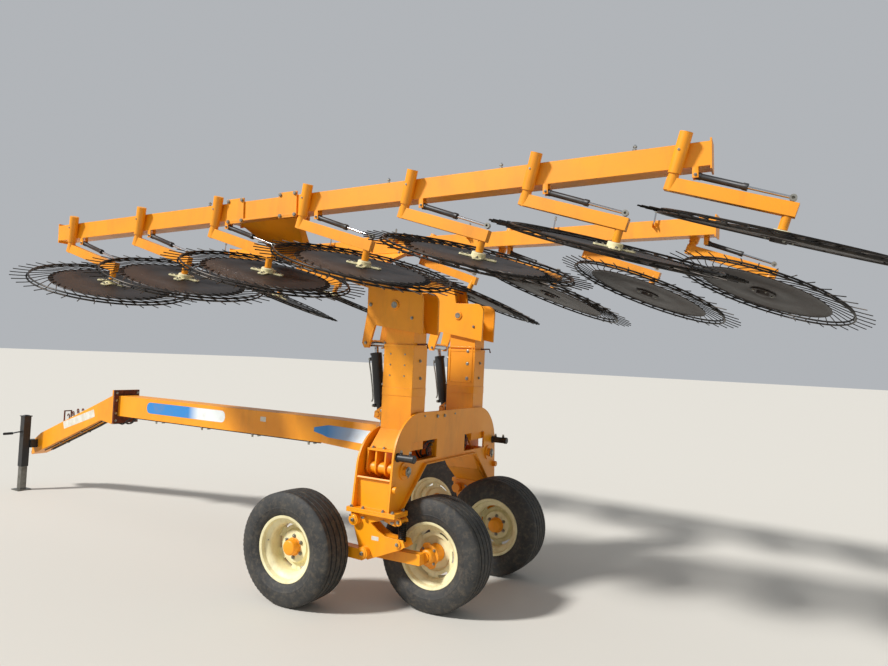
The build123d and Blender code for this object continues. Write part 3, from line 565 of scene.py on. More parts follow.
def addTinedWheel(shape, placed):
    look = tinedLook
    lathe(shape, placed, look.plate, 72)
    count = look.ringSegments
    for height, radius in look.rings:
        points = [placed @ polar(radius, 2 * math.pi * turn / count, height) for turn in range(count)]
        sweep(shape, points, look.ringWire, 8, 1, loop=True)
    for tine in range(look.tines):
        start = 360 * tine / look.tines
        points = [polar(radius, math.radians(start + lead), look.tineHeight) for radius, lead in look.tine]
        sweep(shape, [placed @ point for point in points], look.tineWire, 6, 1)
    turnSolid(shape, placed, look.hubFront, 32, 2)
    for turn in (look.crossTurn, look.crossTurn + math.pi / 2):
        base = placed @ Matrix.Rotation(turn, 4, "Z") @ Matrix.Translation((0, 0, look.crossLow))
        addPad(shape, base, *look.cross, 2)
    turnSolid(shape, placed, look.hubRear, 32)
    up = placed.to_3x3() @ Vector((0, 0, 1))
    for bolt in range(4):
        angle = look.crossTurn + math.pi / 2 * bolt
        for radius in look.frontBolts:
            place = placed @ polar(radius, angle, look.frontFace)
            addBolt(shape, place, up, look.boltSize, bolt, nut=True, material=3)
        place = placed @ polar(look.rearBolts, angle, look.rearFace)
        addBolt(shape, place, -up, look.boltSize, bolt, material=3)


for side in sides:
    for number in range(1, boomLook.wheels + 1):
        hub = Vector(joints[f"spin_{side}_{number}"]["pos_m"])
        shape = bmesh.new()
        addTinedWheel(shape, standOn(hub, booms[side]["axis"], (-1, 0, 0)))
        body = f"rake_wheel_{side}_{number}"
        materials = [darkSheet, springWire, creamEnamel, zincPlate]
        wheel = finishPiece(shape, f"tinedWheel_{side}_{number}", materials, body)
        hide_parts(f"rake_wheel_{side}_{number}")
print("stage: tined wheels made")

# booms: float springs between two lugs and the hub, studs above them, bolts at the clamps and pivot tubes
springLook = Look(
    foot=(-0.078, 0.044, -0.069), footDrop=0.044, lugHalf=0.024, lugTail=0.018, lug=(0.034, 0.006),
    endUp=0.218, endIn=0.03, tube=0.018, tubeTo=0.55, collar=0.003, rod=0.009, rodTo=0.97, eyeIn=0.014,
    eyeLength=0.026, eyeInner=0.008, eyeOuter=0.019, pin=0.009, pinOut=0.027, studTop=(0.28, -0.105, 0.16),
    studRoot=(0.3, -0.105, 0.03), studRod=0.007, nutShares=(0.72, 0.86), nut=0.013, nutThick=0.01,
    earHalf=0.02, earY=-0.068, earEnd=0.012, ear=(0.03, 0.006),
)
clampLook = Look(
    stations=(-0.258, 0.258), along=(-0.068, 0.068), up=(-0.08, 0.08), lift=0.0123, size=0.014, tubeUp=0.02,
    tubeSize=0.008,
)


def addFloatSpring(shape, side, number, place):
    look = springLook
    boom = booms[side]
    out, up, ahead = boom["out"], boom["up"], boom["ahead"]
    along, outboard, high = look.foot
    foot = onBoom(side, place + along, outboard, high)
    low = onBoom(side, place + along, outboard, high - look.footDrop)
    hub = Vector(joints[f"spin_{side}_{number}"]["pos_m"])
    end = hub + boom["axis"] * look.endUp - out * look.endIn
    run = end - low
    for step in (-look.lugHalf, look.lugHalf):
        flatBar(shape, foot + out * step, low + out * step - up * look.lugTail, *look.lug, ahead, 3)
    addBolt(shape, low + out * look.pinOut, out, look.pin, number, nut=True, material=2)
    tube = look.tube
    wide = tube + look.collar
    length = run.length * look.tubeTo
    lathe(shape, standOn(low, run), [
        (-0.012, 0.002), (-0.012, 0.014), (0, 0.016), (0.004, wide), (0.03, wide), (0.033, tube),
        (length - 0.03, tube), (length - 0.026, wide), (length, wide), (length, 0.002)], 24)
    sweep(shape, [low + run * look.tubeTo * 0.99, low + run * look.rodTo], look.rod, 12, 1)
    eye = end - out * look.eyeIn
    collar(shape, standOn(eye, out), 0, look.eyeLength, look.eyeOuter, 20, 2, look.eyeInner)
    addBolt(shape, eye, -out, look.pin, number, material=2)
    top, root = (onBoom(side, place + a, b, c) for a, b, c in (look.studTop, look.studRoot))
    sweep(shape, [root, top], look.studRod, 10, 1)
    for share in look.nutShares:
        slab(shape, standOn(root + (top - root) * share, top - root), hexagon(look.nut), look.nutThick, 2)
    for step in (-look.earHalf, look.earHalf):
        wall = onBoom(side, place + look.studRoot[0] + step, look.earY, look.studRoot[2])
        flatBar(shape, wall, root + ahead * step * 0.5 - out * look.earEnd, *look.ear, up, 3)


for side in sides:
    out = booms[side]["out"]
    shape = bmesh.new()
    bolts = bmesh.new()
    for number in range(1, boomLook.wheels + 1):
        place = boomLook.firstTube + (boomLook.wheels - number) * boomLook.tubePitch
        addFloatSpring(shape, side, number, place)
        tubeMiddle = onBoom(side, place, boomLook.tubeEnd, clampLook.tubeUp)
        addBolt(bolts, tubeMiddle, out, clampLook.tubeSize, number)
    springs = finishPiece(shape, f"floatSprings_{side}", [blackPaint, hardChrome, zincPlate, orangeEnamel],
                          f"boom_{side}")
    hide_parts(f"float_springs_{side}")
    for station, way, along, up in product(clampLook.stations, (-1, 1), clampLook.along, clampLook.up):
        face = way * (boomLook.half + clampLook.lift)
        place = onBoom(side, boomLook.saddle + station + along, face, up)
        addBolt(bolts, place, out * way, clampLook.size, along * 40 + up, nut=way < 0)
    finishPiece(bolts, f"boomBolts_{side}", [zincPlate], f"boom_{side}")
print("stage: booms dressed")

# masts: rows of bolts, sleeve edges, lever, panel, hoses on the front face, cylinder's ports, head's bolts
mastLook = Look(
    y=0.496, faceHalf=0.096, rearX=-0.217, frontX=0.045, outerX=(-0.015, -0.143), outerZ=(1.65, 1.73, 1.81),
    outerSize=0.0062, innerX=-0.147, innerZ=(1.629, 1.757, 1.866),
    roundHead=((0, 0.016), (0.002, 0.0152), (0.004, 0.012), (0.005, 0.0064)),
    rearRows=((1.765, 0.5), (1.636, 0.487)), rearSize=0.012, frontY=0.466, frontSize=0.011,
    flangeX=(-0.18, -0.086, 0.008), flangeY=0.722, flangeZ=1.121, flangeSize=0.013,
)
sleeveLook = Look(
    x=-0.086, z=1.862, bands=((0.0, 0.02), (-0.36, -0.3)), outer=(0.268, 0.198, 0.006),
    inner=(0.259, 0.189, 0.005),
)
handleLook = Look(route=((-0.2, 0.53, 1.888), (-0.29, 0.53, 1.892), (-0.3, 0.53, 1.86)), radius=0.006)
panelLook = Look(outline=(-0.19, 0.028, 1.6, 1.9), width=0.014, thick=0.0044)
# a route holds the distance off the face, the height, and the share of the offset by which it closes in
mastHoseLook = Look(
    offsets=(-0.078, -0.058, 0.07), radius=0.0075, lift=0.0082,
    route=((0.004, 1.285, 0), (0.006, 1.33, 0), (0, 1.45, 0), (0, 1.7, 0), (0.001, 1.85, 0),
        (0.012, 1.885, 0.2)),
    clampZ=(1.38, 1.58, 1.8), clamp=(0.0175, (0.032, 0.018, 0.004, 2)), nutX=0.004, nutZ=(1.263, 1.876),
    nut=(0, 0.024, 0.0125, 6),
)
portLook = Look(
    foot=(0.118, 1.345), eye=(0.2, 1.89), along=(0.07, 0.43),
    parts=((0.04, -0.006, 0.014, 0.014, 16), (0.054, -0.001, 0.014, 0.0115, 6)), bands=(0.004, 0.456),
    band=(0, 0.016, 0.0445, 36, 0, 0.0418), line=0.0055,
    route=((0.06, 0, 0.43), (0.066, 0, 0.42), (0.062, 0.006, 0.38), (0.052, 0.012, 0.3), (0.05, 0.012, 0.14),
        (0.06, 0.018, 0.1)),
)
headLook = Look(
    bolts=((0.17, 2.177, 0.014), (0.2, 1.885, 0.012), (-0.205, 2.078, 0.012)),
    faces=((1, 0.619), (-1, 0.373)), pinX=-0.05, pinZ=2.174, pinFaces=((1, 0.628), (-1, 0.364)),
    pin=(0, 0.005, 0.024, 24),
)


def addMastBolts(shape, sign):
    look = mastLook
    outerY, innerY = look.y + look.faceHalf, look.y - look.faceHalf
    for x, (index, z) in product(look.outerX, enumerate(look.outerZ)):
        addBolt(shape, at(x, sign * outerY, z), (0, sign, 0), look.outerSize, index + x * 9)
    for z in look.innerZ:
        turnSolid(shape, facing(sign, look.innerX, innerY, z, -1), look.roundHead, 20)
    for z, rearY in look.rearRows:
        addBolt(shape, at(look.rearX, sign * rearY, z), (-1, 0, 0), look.rearSize, z * 7, nut=True)
        addBolt(shape, at(look.frontX, sign * look.frontY, z), (1, 0, 0), look.frontSize, z * 5)
    for x in look.flangeX:
        place = at(x, sign * look.flangeY, look.flangeZ)
        addBolt(shape, place, (0, 0, 1), look.flangeSize, x * 20, nut=True)


def addSleeveBands(shape, sign):
    placed = standOn(at(sleeveLook.x, sign * mastLook.y, sleeveLook.z), (0, 0, 1), (1, 0, 0))
    outer, inner = (roundedRectangle(*sleeveLook[key]) for key in ("outer", "inner"))
    for low, high in sleeveLook.bands:
        rows = []
        for outline, z in ((outer, low), (outer, high), (inner, high), (inner, low)):
            rows.append([shape.verts.new(placed @ Vector((x, y, z))) for x, y in outline])
        for row, following in zip(rows, rows[1:] + rows[:1]):
            bridge(shape, row, following)


def addInnerPanel(shape, sign):
    y = sign * (mastLook.y - mastLook.faceHalf - panelLook.thick / 2)
    corners = oblong(*panelLook.outline)
    for (xa, za), (xb, zb) in zip(corners, corners[1:] + corners[:1]):
        across = (1, 0, 0) if xa == xb else (0, 0, 1)
        flatBar(shape, at(xa, y, za), at(xb, y, zb), panelLook.width, panelLook.thick, across)


def addMastHoses(shape, sign):
    look = mastHoseLook
    face = mastLook.frontX
    for offset in look.offsets:
        y = sign * (mastLook.y + offset)
        route = [at(face + look.lift + off, y - sign * offset * share, z) for off, z, share in look.route]
        sweep(shape, bend(route), look.radius, 10)
        for z in look.clampZ:
            addPad(shape, standOn(at(face, y, z), (1, 0, 0), (0, 1, 0)), *look.clamp, 1)
        for z in look.nutZ:
            placed = standOn(at(face + look.lift + look.nutX, y, z), (0, 0, 1))
            collar(shape, placed, *look.nut, 1)


def addCylinderPorts(shape, sign):
    look = portLook
    foot, eye = (at(x, sign * mastLook.y, z) for x, z in (look.foot, look.eye))
    axis = (eye - foot).normalized()
    ahead = Vector((axis.z, 0, -axis.x))
    placed = standOn(foot, axis, ahead)
    for along, (material, (off, *sizes)) in product(look.along, enumerate(look.parts)):
        collar(shape, standOn(placed @ Vector((off, 0, along)), ahead), *sizes, material)
    sweep(shape, bend([placed @ Vector(point) for point in look.route]), look.line, 8, 1)
    for along in look.bands:
        collar(shape, placed @ Matrix.Translation((0, 0, along)), *look.band)


def addHeadBolts(shape, sign):
    look = headLook
    for (x, z, size), (way, face) in product(look.bolts, look.faces):
        addBolt(shape, at(x, sign * face, z), (0, sign * way, 0), size, x * 8, nut=way < 0)
    for way, face in look.pinFaces:
        collar(shape, facing(sign, look.pinX, face, look.pinZ, way), *look.pin)


def addPinHandle(shape, sign):
    sweep(shape, [at(x, sign * y, z) for x, y, z in handleLook.route], handleLook.radius)


mastPieces = (
    ("mastBolts", addMastBolts, [zincPlate], "mast", "bare_steel"),
    ("sleeveBands", addSleeveBands, [orangeEnamel], "mast", "orange_paint"),
    ("pinHandle", addPinHandle, [rustedSteel], "mast", "worn_red_paint"),
    ("innerPanel", addInnerPanel, [orangeEnamel], "mast", "orange_paint"),
    ("mastHoses", addMastHoses, [hoseRubber, zincPlate], "mast", "black_paint"),
    ("cylinderPorts", addCylinderPorts, [blackPaint, zincPlate], "nod_barrel", "black_paint"),
    ("headBolts", addHeadBolts, [zincPlate], "boom", "bare_steel"),
)
for side, sign in sides.items():
    for name, addTo, materials, body, slotName in mastPieces:
        shape = bmesh.new()
        addTo(shape, sign)
        finishPiece(shape, f"{name}_{side}", materials, f"{body}_{side}")
print("stage: masts dressed")

# bolts of the arch's rear plate and foot flanges, and of the tongue's joint plates
archLook = Look(
    rearX=-0.241,
    rearBolts=((0.429, 1.356, 0.008), (0.242, 1.346, 0.013), (0.132, 1.345, 0.013), (-0.042, 1.352, 0.008)),
    footX=(-0.27, -0.19, -0.02, 0.08), footY=(0.72, 0.852), footTop=0.707, footUnder=0.6515, boltSize=0.014,
    jointFaces=((3.88, -1), (3.9203, 1)), jointY=(-0.125, 0.125), jointZ=(0.95, 1.03, 1.17, 1.25),
)
shape = bmesh.new()
for y, z, size in archLook.rearBolts:
    addBolt(shape, at(archLook.rearX, y, z), (-1, 0, 0), size, y * 9)
for sign, x, y in product((1, -1), archLook.footX, archLook.footY):
    addBolt(shape, at(x, sign * y, archLook.footTop), (0, 0, 1), archLook.boltSize, x * 30, nut=True)
finishPiece(shape, "archBolts", [zincPlate], "root")

shape = bmesh.new()
for (x, way), y, z in product(archLook.jointFaces, archLook.jointY, archLook.jointZ):
    addBolt(shape, at(x, y, z), (way, 0, 0), archLook.boltSize, z * 11, nut=way > 0)
finishPiece(shape, "jointBolts", [zincPlate], "root")

# films on the left side: the tongue's band, and two blank plates, one of them down the gooseneck's slope
filmLook = Look(
    thick=0.0006, neckTilt=-18.4, tongueBand=((2.81, 0.1003, 1.126), (1.17, 0.115, 0.05)),
    tonguePlate=((1.72, 0.1003, 1.147), (0.07, 0.045, 0.004)),
    neckPlate=((4.598, 0.0903, 0.9), (0.6, 0.085, 0.006)),
)
blueBand = bandFilm("blueBand", Look(blueX=2.75, paleX=2.6, grimeMm=120))


def addFilm(shape, key, tilt=0.0):
    place, size = filmLook[key]
    leftFace = axesAt(at(*place), (1, 0, 0), (0, 0, 1), (0, 1, 0))
    addPad(shape, leftFace @ Matrix.Rotation(math.radians(tilt), 4, "Z"), filmLook.thick, size)


shape = bmesh.new()
addFilm(shape, "tongueBand")
finishPiece(shape, "tongueBand", [blueBand], "root")
shape = bmesh.new()
addFilm(shape, "tonguePlate")
addFilm(shape, "neckPlate", filmLook.neckTilt)
finishPiece(shape, "blankPlates", [whiteFilm], "root")

# welded lip round the arch's inner edge, and a plug each side
lipLook = Look(
    foot=(0.714, 0.709), corner=(0.412, 0.9995), deep=0.026, thick=0.009, plugX=-0.239, plugAt=(0.812, 0.862),
    plug=((0, 0.024), (0.03, 0.024), (0.033, 0.021)),
)
shape = bmesh.new()
lipX = archLook.rearX - lipLook.deep / 2
footY, footZ = lipLook.foot
cornerY, cornerZ = lipLook.corner
plugY, plugZ = lipLook.plugAt
for sign in (1, -1):
    flatBar(shape, at(lipX, sign * footY, footZ), at(lipX, sign * cornerY, cornerZ), lipLook.thick,
            lipLook.deep, (0, 0, 1))
    turnSolid(shape, standOn(at(lipLook.plugX, sign * plugY, plugZ), (-1, 0, 0)), lipLook.plug, 24)
corners = [at(lipX, y, cornerZ) for y in (cornerY, -cornerY)]
flatBar(shape, *corners, lipLook.thick, lipLook.deep, (0, 0, 1))
finishPiece(shape, "archLips", [orangeEnamel], "root")

# lock cylinders' black barrels over the plain tubes, with a gland ring and two ports
lockLook = Look(
    y=0.778, z=1.083, length=0.14, barrel=0.0262, bore=0.0242, ports=(0.03, 0.105), portX=0.026,
    parts=((0.0, -0.004, 0.012, 0.011, 12), (0.012, -0.001, 0.014, 0.009, 6)),
)
shape = bmesh.new()
length, barrel, bore = lockLook.length, lockLook.barrel, lockLook.bore
lockProfile = [
    (0, bore), (0, 0.032), (0.008, 0.032), (0.01, barrel), (length - 0.022, barrel), (length - 0.02, 0.0285),
    (length, 0.0285), (length + 0.003, 0.025), (length + 0.003, 0.0005), (length - 0.001, 0.0005),
    (length - 0.001, bore)]
for sign in (1, -1):
    placed = standOn(at(archLook.rearX, sign * lockLook.y, lockLook.z), (-1, 0, 0))
    lathe(shape, placed, lockProfile, 32)
    for along, (material, (off, *sizes)) in product(lockLook.ports, enumerate(lockLook.parts)):
        port = placed @ Vector((lockLook.portX, 0, along)) + Vector((0, 0, off))
        collar(shape, standOn(port, (0, 0, 1)), *sizes, material)
finishPiece(shape, "lockBarrels", [blackPaint, zincPlate], "root")

# bright castle nut and split pin at each fold pin's rear end
foldLook = Look(
    place=(-0.276, 0.688, 0.977), split=0.003,
    nut=((0, 0.001), (0, 0.036), (0.004, 0.038), (0.007, 0.038), (0.008, 0.001)),
    castle=((0.006, 0.022), (0.014, 0.021), (0.015, 0.019)),
    pin=((0.032, 0, 0.0105), (-0.036, 0, 0.0105), (-0.042, 0.012, 0.008)),
)
shape = bmesh.new()
for sign in (1, -1):
    x, y, z = foldLook.place
    placed = standOn(at(x, sign * y, z), (-1, 0, 0))
    lathe(shape, placed, foldLook.nut, 6)
    turnSolid(shape, placed, foldLook.castle, 24)
    sweep(shape, [placed @ Vector(point) for point in foldLook.pin], foldLook.split)
finishPiece(shape, "pinNuts", [zincPlate], "root")

# hydraulic hoses clipped between the arch plates and seen through its windows
hoseLook = Look(
    radius=0.0085,
    runs=(((-0.2, 0.226, 1.15), (-0.212, 0.27, 1.158), (-0.2, 0.33, 1.14), (-0.17, 0.35, 1.08),
        (-0.15, 0.3, 1.04), (-0.14, 0.226, 1.03)), ((-0.185, 0.226, 1.12), (-0.2, 0.28, 1.125),
        (-0.205, 0.32, 1.09), (-0.2, 0.3, 1.05), (-0.18, 0.226, 1.045)), ((-0.17, 0.226, 1.09),
        (-0.18, 0.29, 1.1), (-0.15, 0.36, 1.13), (-0.08, 0.37, 1.16), (0.0, 0.33, 1.16), (0.03, 0.226, 1.15)),
        ((-0.16, 0.226, 1.16), (-0.175, 0.26, 1.19), (-0.16, 0.33, 1.2), (-0.12, 0.35, 1.12),
        (-0.12, 0.3, 1.03), (-0.12, 0.226, 1.01))),
    end=((0, 0.014), (0.02, 0.014), (0.02, 0.011), (0.034, 0.011)), endBack=0.005,
    clamps=((-0.207, 0.278, 1.092), (-0.19, 0.242, 1.054), (-0.19, 0.32, 1.114)),
    clamp=(0.04, (0.03, 0.034, 0.006, 2)),
)
shape = bmesh.new()
for sign in (1, -1):
    for run in hoseLook.runs:
        sweep(shape, bend([at(x, sign * y, z) for x, y, z in run]), hoseLook.radius, 10)
        for x, y, z in (run[0], run[-1]):
            turnSolid(shape, facing(sign, x, y - hoseLook.endBack, z), hoseLook.end, 6, 1)
    for x, y, z in hoseLook.clamps:
        addPad(shape, facing(sign, x, y, z, towards=(1, 0, 0)), *hoseLook.clamp, 2)
finishPiece(shape, "archHoses", [hoseRubber, zincPlate, rustedSteel], "root")

# coil springs of the walking beams on their guide rods, with a seat at each end
coilLook = Look(
    radius=0.0235, wire=0.0062, turns=8.5, steps=20, seatOuter=0.0298, seatInner=0.0105, seatThick=0.004,
)
for side, sign in sides.items():
    low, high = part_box(f"beam_spring_{side}")
    middle = Vector(((low[0] + high[0]) / 2, (low[1] + high[1]) / 2, 0))
    wire, thick = coilLook.wire, coilLook.seatThick
    bottom, top = low[2] + wire, high[2] - wire
    count = int(coilLook.turns * coilLook.steps)
    helix = []
    for index in range(count + 1):
        angle = 2 * math.pi * index / coilLook.steps
        helix.append(middle + polar(coilLook.radius, angle, bottom + (top - bottom) * index / count))
    shape = bmesh.new()
    sweep(shape, helix, wire)
    for z in (low[2], high[2] - thick):
        seat = Matrix.Translation(middle + Vector((0, 0, z)))
        collar(shape, seat, 0, thick, coilLook.seatOuter, 28, inner=coilLook.seatInner)
    coil = finishPiece(shape, f"coilSpring_{side}", [springWire], "root")
    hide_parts(f"beam_spring_{side}")

# walking beams: pivots' and spring pins' collars with bolts, blank label, spindle castings, flange nuts below
beamLook = Look(
    pivotY=0.861, pivots=((0.055, 0.621, 0.03), (-0.038, 0.399, 0.034)), pivotThick=0.006, pivotStep=0.004,
    chamfer=0.003, pivotSize=0.014, pinY=0.82, pins=((-0.306, 0.651), (-0.306, 0.499)),
    pin=((0, 0.027), (0.012, 0.027), (0.014, 0.025)), pinThick=0.014, pinSize=0.012,
    labelAt=(-0.115, 0.823, 0.508), label=(0.0006, (0.06, 0.028, 0.004)), spindleX=-0.441, spindleY=0.6,
    casting=((0.002, 0.032), (0.002, 0.06), (0.012, 0.078), (0.024, 0.078), (0.026, 0.058), (0.06, 0.05),
        (0.068, 0.04), (0.068, 0.032)),
    studs=4, studCircle=0.064, studFace=0.025, studSize=0.01, lobeTurns=(20, 200), lobeAt=(0.062, 0, 0.006),
    lobe=(0.016, (0.06, 0.062, 0.024)),
)


def addBeamSide(shape, sign):
    look = beamLook
    outward = Vector((0, sign, 0))
    for x, z, radius in look.pivots:
        placed = facing(sign, x, look.pivotY, z)
        thick = look.pivotThick
        profile = (0, radius), (look.pivotStep, radius), (thick, radius - look.chamfer)
        turnSolid(shape, placed, profile, 32)
        addBolt(shape, placed @ Vector((0, 0, thick)), outward, look.pivotSize, x * 20, material=1)
    for x, z in look.pins:
        placed = facing(sign, x, look.pinY, z)
        turnSolid(shape, placed, look.pin, 28)
        addBolt(shape, placed @ Vector((0, 0, look.pinThick)), outward, look.pinSize, z * 9, material=1)
    addPad(shape, facing(sign, *look.labelAt, towards=(1, 0, 0)), *look.label, 2)
    placed = facing(sign, look.spindleX, look.spindleY, tyreLook.tread)
    lathe(shape, placed, look.casting, 40)
    for turn in range(look.studs):
        place = placed @ polar(look.studCircle, math.radians(45 + 90 * turn), look.studFace)
        addBolt(shape, place, outward, look.studSize, turn, nut=True, material=1)
    for angle in look.lobeTurns:
        turned = placed @ Matrix.Rotation(math.radians(angle), 4, "Z")
        addPad(shape, turned @ Matrix.Translation(look.lobeAt), *look.lobe)
    for x, y in product(archLook.footX, archLook.footY):
        place = at(x, sign * y, archLook.footUnder)
        addBolt(shape, place, (0, 0, -1), archLook.boltSize, x * 12, nut=True, material=1)


shape = bmesh.new()
for sign in sides.values():
    addBeamSide(shape, sign)
finishPiece(shape, "beamFittings", [orangeEnamel, zincPlate, whiteFilm], "root")

# rust where the paint has gone from the tongue's joint plate, round the tube and on the plate's edges
jointLook = Look(
    x=3.8798, half=0.15, low=0.92, high=1.28, tubeHalf=0.1003, tubeLow=0.9997, tubeHigh=1.2203, film=0.0008,
    edgeHalf=0.01015,
)
shape = bmesh.new()
low, high, half, film = (jointLook[key] for key in ("low", "high", "half", "film"))
tubeLow, tubeHigh, tubeHalf = (jointLook[key] for key in ("tubeLow", "tubeHigh", "tubeHalf"))
jointPlace = at(jointLook.x, 0, 0)
rearFrame = axesAt(jointPlace, (0, 1, 0), (0, 0, 1), (-1, 0, 0))
for field in ((-half, half, tubeHigh, high), (-half, half, low, tubeLow),
              (-half, -tubeHalf, tubeLow, tubeHigh), (tubeHalf, half, tubeLow, tubeHigh)):
    slab(shape, rearFrame, oblong(*field), film)
middleZ, tall = (low + high) / 2, (high - low) / 2
for y, z, reach, direction in ((0, high, half, (0, 0, 1)), (0, low, half, (0, 0, -1)),
                               (half, middleZ, tall, (0, 1, 0)), (-half, middleZ, tall, (0, -1, 0))):
    edge = standOn(jointPlace + Vector((jointLook.edgeHalf, y, z)), direction, (1, 0, 0))
    slab(shape, edge, oblong(-jointLook.edgeHalf, jointLook.edgeHalf, -reach, reach), film)
finishPiece(shape, "jointRust", [rustedSteel], "root")

# striped film on the tongue's flare, laid on its ruled side
# a station holds its place, the half widths at top and foot, and the heights of foot and top
flareLook = Look(
    stations=((2.0, 0.1, 0.1, 1.0, 1.22), (1.0, 0.1, 0.1, 1.0, 1.22), (0.43, 0.1, 0.29, 1.005, 1.21),
        (0.083, 0.6, 0.64, 1.06, 1.2)),
    lift=0.0016, start=1.1, end=0.31, steps=24, halfShare=0.24, taperStart=0.35, taperSteps=8,
)


def onFlare(x, share):
    for near, far in zip(flareLook.stations, flareLook.stations[1:]):
        if x >= far[0]:
            t = (near[0] - x) / (near[0] - far[0])
            topHalf, lowHalf, lowZ, highZ = (a + (b - a) * t for a, b in zip(near[1:], far[1:]))
            return Vector((x, lowHalf + (topHalf - lowHalf) * share, lowZ + (highZ - lowZ) * share))


stripeFilm = bandFilm("stripeFilm", Look(blueX=0.95, paleX=0.45, grimeMm=120))
shape = bmesh.new()
rows = []
for index in range(flareLook.steps + 1):
    x = flareLook.start - (flareLook.start - flareLook.end) * index / flareLook.steps
    reach = flareLook.halfShare * min(1, flareLook.taperStart + index / flareLook.taperSteps)
    under, over = [], []
    for share in (0.5 - reach, 0.5, 0.5 + reach):
        point = onFlare(x, share)
        normal = (onFlare(x - 0.01, share) - point).cross(onFlare(x, share + 0.02) - point).normalized()
        lifted = point + (normal if normal.y > 0 else -normal) * flareLook.lift
        under.append(shape.verts.new(at(*point)))
        over.append(shape.verts.new(at(*lifted)))
    rows.append(under + over[::-1])
for rowA, rowB in zip(rows, rows[1:]):
    bridge(shape, rowB, rowA)
for row in (rows[0], rows[-1]):
    shape.faces.new((row[0], row[1], row[4], row[5]))
    shape.faces.new((row[1], row[2], row[3], row[4]))
finishPiece(shape, "flareStripe", [stripeFilm], "root")

# hooks for the hose couplings on the gooseneck's top
hookLook = Look(
    x=(4.88, 4.79, 4.7), y=(-0.03, 0.03), radius=0.006, base=0.001, barHalf=0.045, barUp=0.004,
    bar=(0.008, 0.03), crest=(4.31, 1.085), toe=(5.335, 0.673),
    route=((0, 0), (0, 0.05), (0.012, 0.075), (0.03, 0.07), (0.034, 0.05)),
)
crestX, crestZ = hookLook.crest
toeX, toeZ = hookLook.toe
shape = bmesh.new()
for x in hookLook.x:
    foot = crestZ + (x - crestX) * (toeZ - crestZ) / (toeX - crestX) + hookLook.base
    for y in hookLook.y:
        sweep(shape, bend([at(x + ahead, y, foot + up) for ahead, up in hookLook.route]), hookLook.radius)
    ends = [at(x, y, foot + hookLook.barUp) for y in (-hookLook.barHalf, hookLook.barHalf)]
    flatBar(shape, *ends, *hookLook.bar, (0, 0, 1))
finishPiece(shape, "couplingHooks", [rustedSteel], "root")

# three hydraulic lines clipped under the gooseneck, round the joint plate and back under the tongue
lineLook = Look(
    y=(-0.05, -0.03, 0.045), radius=0.0065, hang=0.011, tongueLow=1.0, plateLow=0.92,
    tongueX=(1.06, 2.0, 3.0, 3.6, 3.72), plateX=(3.85, 3.93), neckX=(4.06, 4.2, 4.4, 4.6, 4.8, 5.0, 5.2, 5.3),
    clampX=(1.2, 1.9, 2.6, 3.3), clampHalf=0.012, clamp=(0.02, 0.021), tail=0.03, tailBar=(0.022, 0.006),
)
shape = bmesh.new()
hang = lineLook.hang
tongueZ, plateZ = lineLook.tongueLow - hang, lineLook.plateLow - hang
clampReach = Vector((0, lineLook.clampHalf, 0))
for y in lineLook.y:
    under = []
    for x in lineLook.neckX:
        found, spot, normal = nodes["gooseneck"].ray_cast(at(x, y, 0), Vector((0, 0, 1)))[:3]
        under.append(spot + normal * hang if found else at(x, y, lineLook.plateLow))
    run = [at(x, y, tongueZ) for x in lineLook.tongueX] + [at(x, y, plateZ) for x in lineLook.plateX]
    sweep(shape, bend(run + under), lineLook.radius)
    for x in lineLook.clampX:
        spot = at(x, y, tongueZ)
        flatBar(shape, spot - clampReach, spot + clampReach, *lineLook.clamp, (1, 0, 0), 1)
        flatBar(shape, spot, spot - Vector((0, 0, lineLook.tail)), *lineLook.tailBar, (1, 0, 0), 1)
    for spot in under[1:-1:2]:
        flatBar(shape, spot - clampReach, spot + clampReach, *lineLook.clamp, (1, 0, -0.4), 1)
finishPiece(shape, "neckLines", [hoseRubber, zincPlate], "root")

# the jack's crank with its grip, and its cap
jackLook = Look(
    crank=((5.434, 0.25, 0.69), (5.434, 0.297, 0.69), (5.5, 0.303, 0.675), (5.56, 0.303, 0.662)), bar=0.008,
    gripAt=(5.555, 0.296, 0.663), grip=((0, 0.009), (0, 0.015), (0.1, 0.015), (0.104, 0.012), (0.104, 0.009)),
    capAt=(5.44, 0.215, 0.8785), cap=((0, 0.036), (0.006, 0.033), (0.009, 0.02)),
)
shape = bmesh.new()
sweep(shape, [at(*point) for point in jackLook.crank], jackLook.bar, 10)
lathe(shape, standOn(at(*jackLook.gripAt), (0, 1, 0)), jackLook.grip, 16)
turnSolid(shape, standOn(at(*jackLook.capAt), (0, 0, 1)), jackLook.cap, 24)
finishPiece(shape, "jackFittings", [blackPaint], "root")
print("stage: arch and tongue dressed")

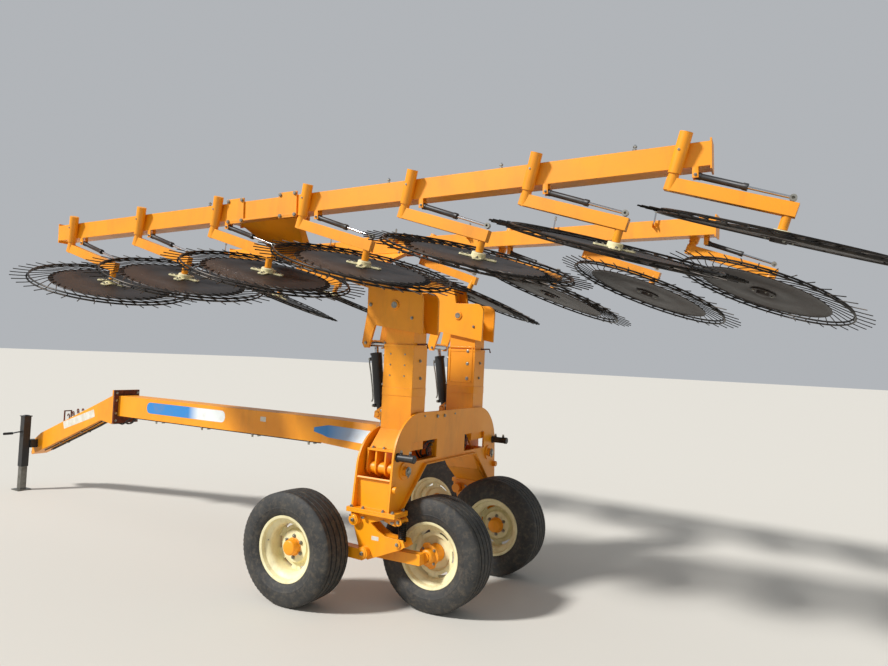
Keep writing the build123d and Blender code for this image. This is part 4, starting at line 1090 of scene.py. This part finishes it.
# camera as the photograph was taken, from behind on the left at a grown person's height
cameraLook = Look(
    place=(-2.819, 4.732, 1.795), yaw=-60.37, pitch=2.17, roll=2.66, lens=27.0, sensor=36.0, clipEnd=400,
)
yaw, pitch, roll = (math.radians(cameraLook[key]) for key in ("yaw", "pitch", "roll"))
upright = Vector((0, 0, 1))
level = polar(1, yaw)
right = level.cross(upright)
forward = math.cos(pitch) * level + math.sin(pitch) * upright
upward = math.cos(pitch) * upright - math.sin(pitch) * level
cameraRight = math.cos(roll) * right + math.sin(roll) * upward
cameraUp = math.cos(roll) * upward - math.sin(roll) * right
cameraData = bpy.data.cameras.new("camera")
cameraData.sensor_width = cameraLook.sensor
cameraData.lens = cameraLook.lens
cameraData.clip_end = cameraLook.clipEnd
camera = bpy.data.objects.new("camera", cameraData)
scene.collection.objects.link(camera)
camera.matrix_world = axesAt(at(*cameraLook.place), cameraRight, cameraUp, -forward)
scene.camera = camera

stageLook = Look(
    floor="#cfcac0", floorRoughness=0.9, floorHalf=120, floorZ=-0.0005, world="#dfe3e8", worldStrength=0.6,
    sunDirection=(0.5, 0.72, 0.72), sunStrength=4.1, sunAngle=7,
)
floorMaterial = bpy.data.materials.new("paleFloor")
floorMaterial.use_nodes = True
floorShader = floorMaterial.node_tree.nodes["Principled BSDF"]
floorShader.inputs["Base Color"].default_value = linearColour(stageLook.floor)
floorShader.inputs["Roughness"].default_value = stageLook.floorRoughness
shape = bmesh.new()
half = stageLook.floorHalf
shape.faces.new([shape.verts.new((x, y, stageLook.floorZ)) for x, y in oblong(-half, half, -half, half)])
floorMesh = bpy.data.meshes.new("floor")
shape.to_mesh(floorMesh)
shape.free()
floorMesh.materials.append(floorMaterial)
floor = bpy.data.objects.new("floor", floorMesh)
scene.collection.objects.link(floor)

world = bpy.data.worlds.new("softSky")
scene.world = world
world.use_nodes = True
background = world.node_tree.nodes["Background"]
background.inputs["Color"].default_value = linearColour(stageLook.world)
background.inputs["Strength"].default_value = stageLook.worldStrength
sunData = bpy.data.lights.new("key", "SUN")
sunData.energy = stageLook.sunStrength
sunData.angle = math.radians(stageLook.sunAngle)
sun = bpy.data.objects.new("key", sunData)
sun.matrix_world = standOn((0, 0, 10), stageLook.sunDirection)
scene.collection.objects.link(sun)
scene.view_settings.view_transform = "Standard"
print("stage: camera, floor and light set")
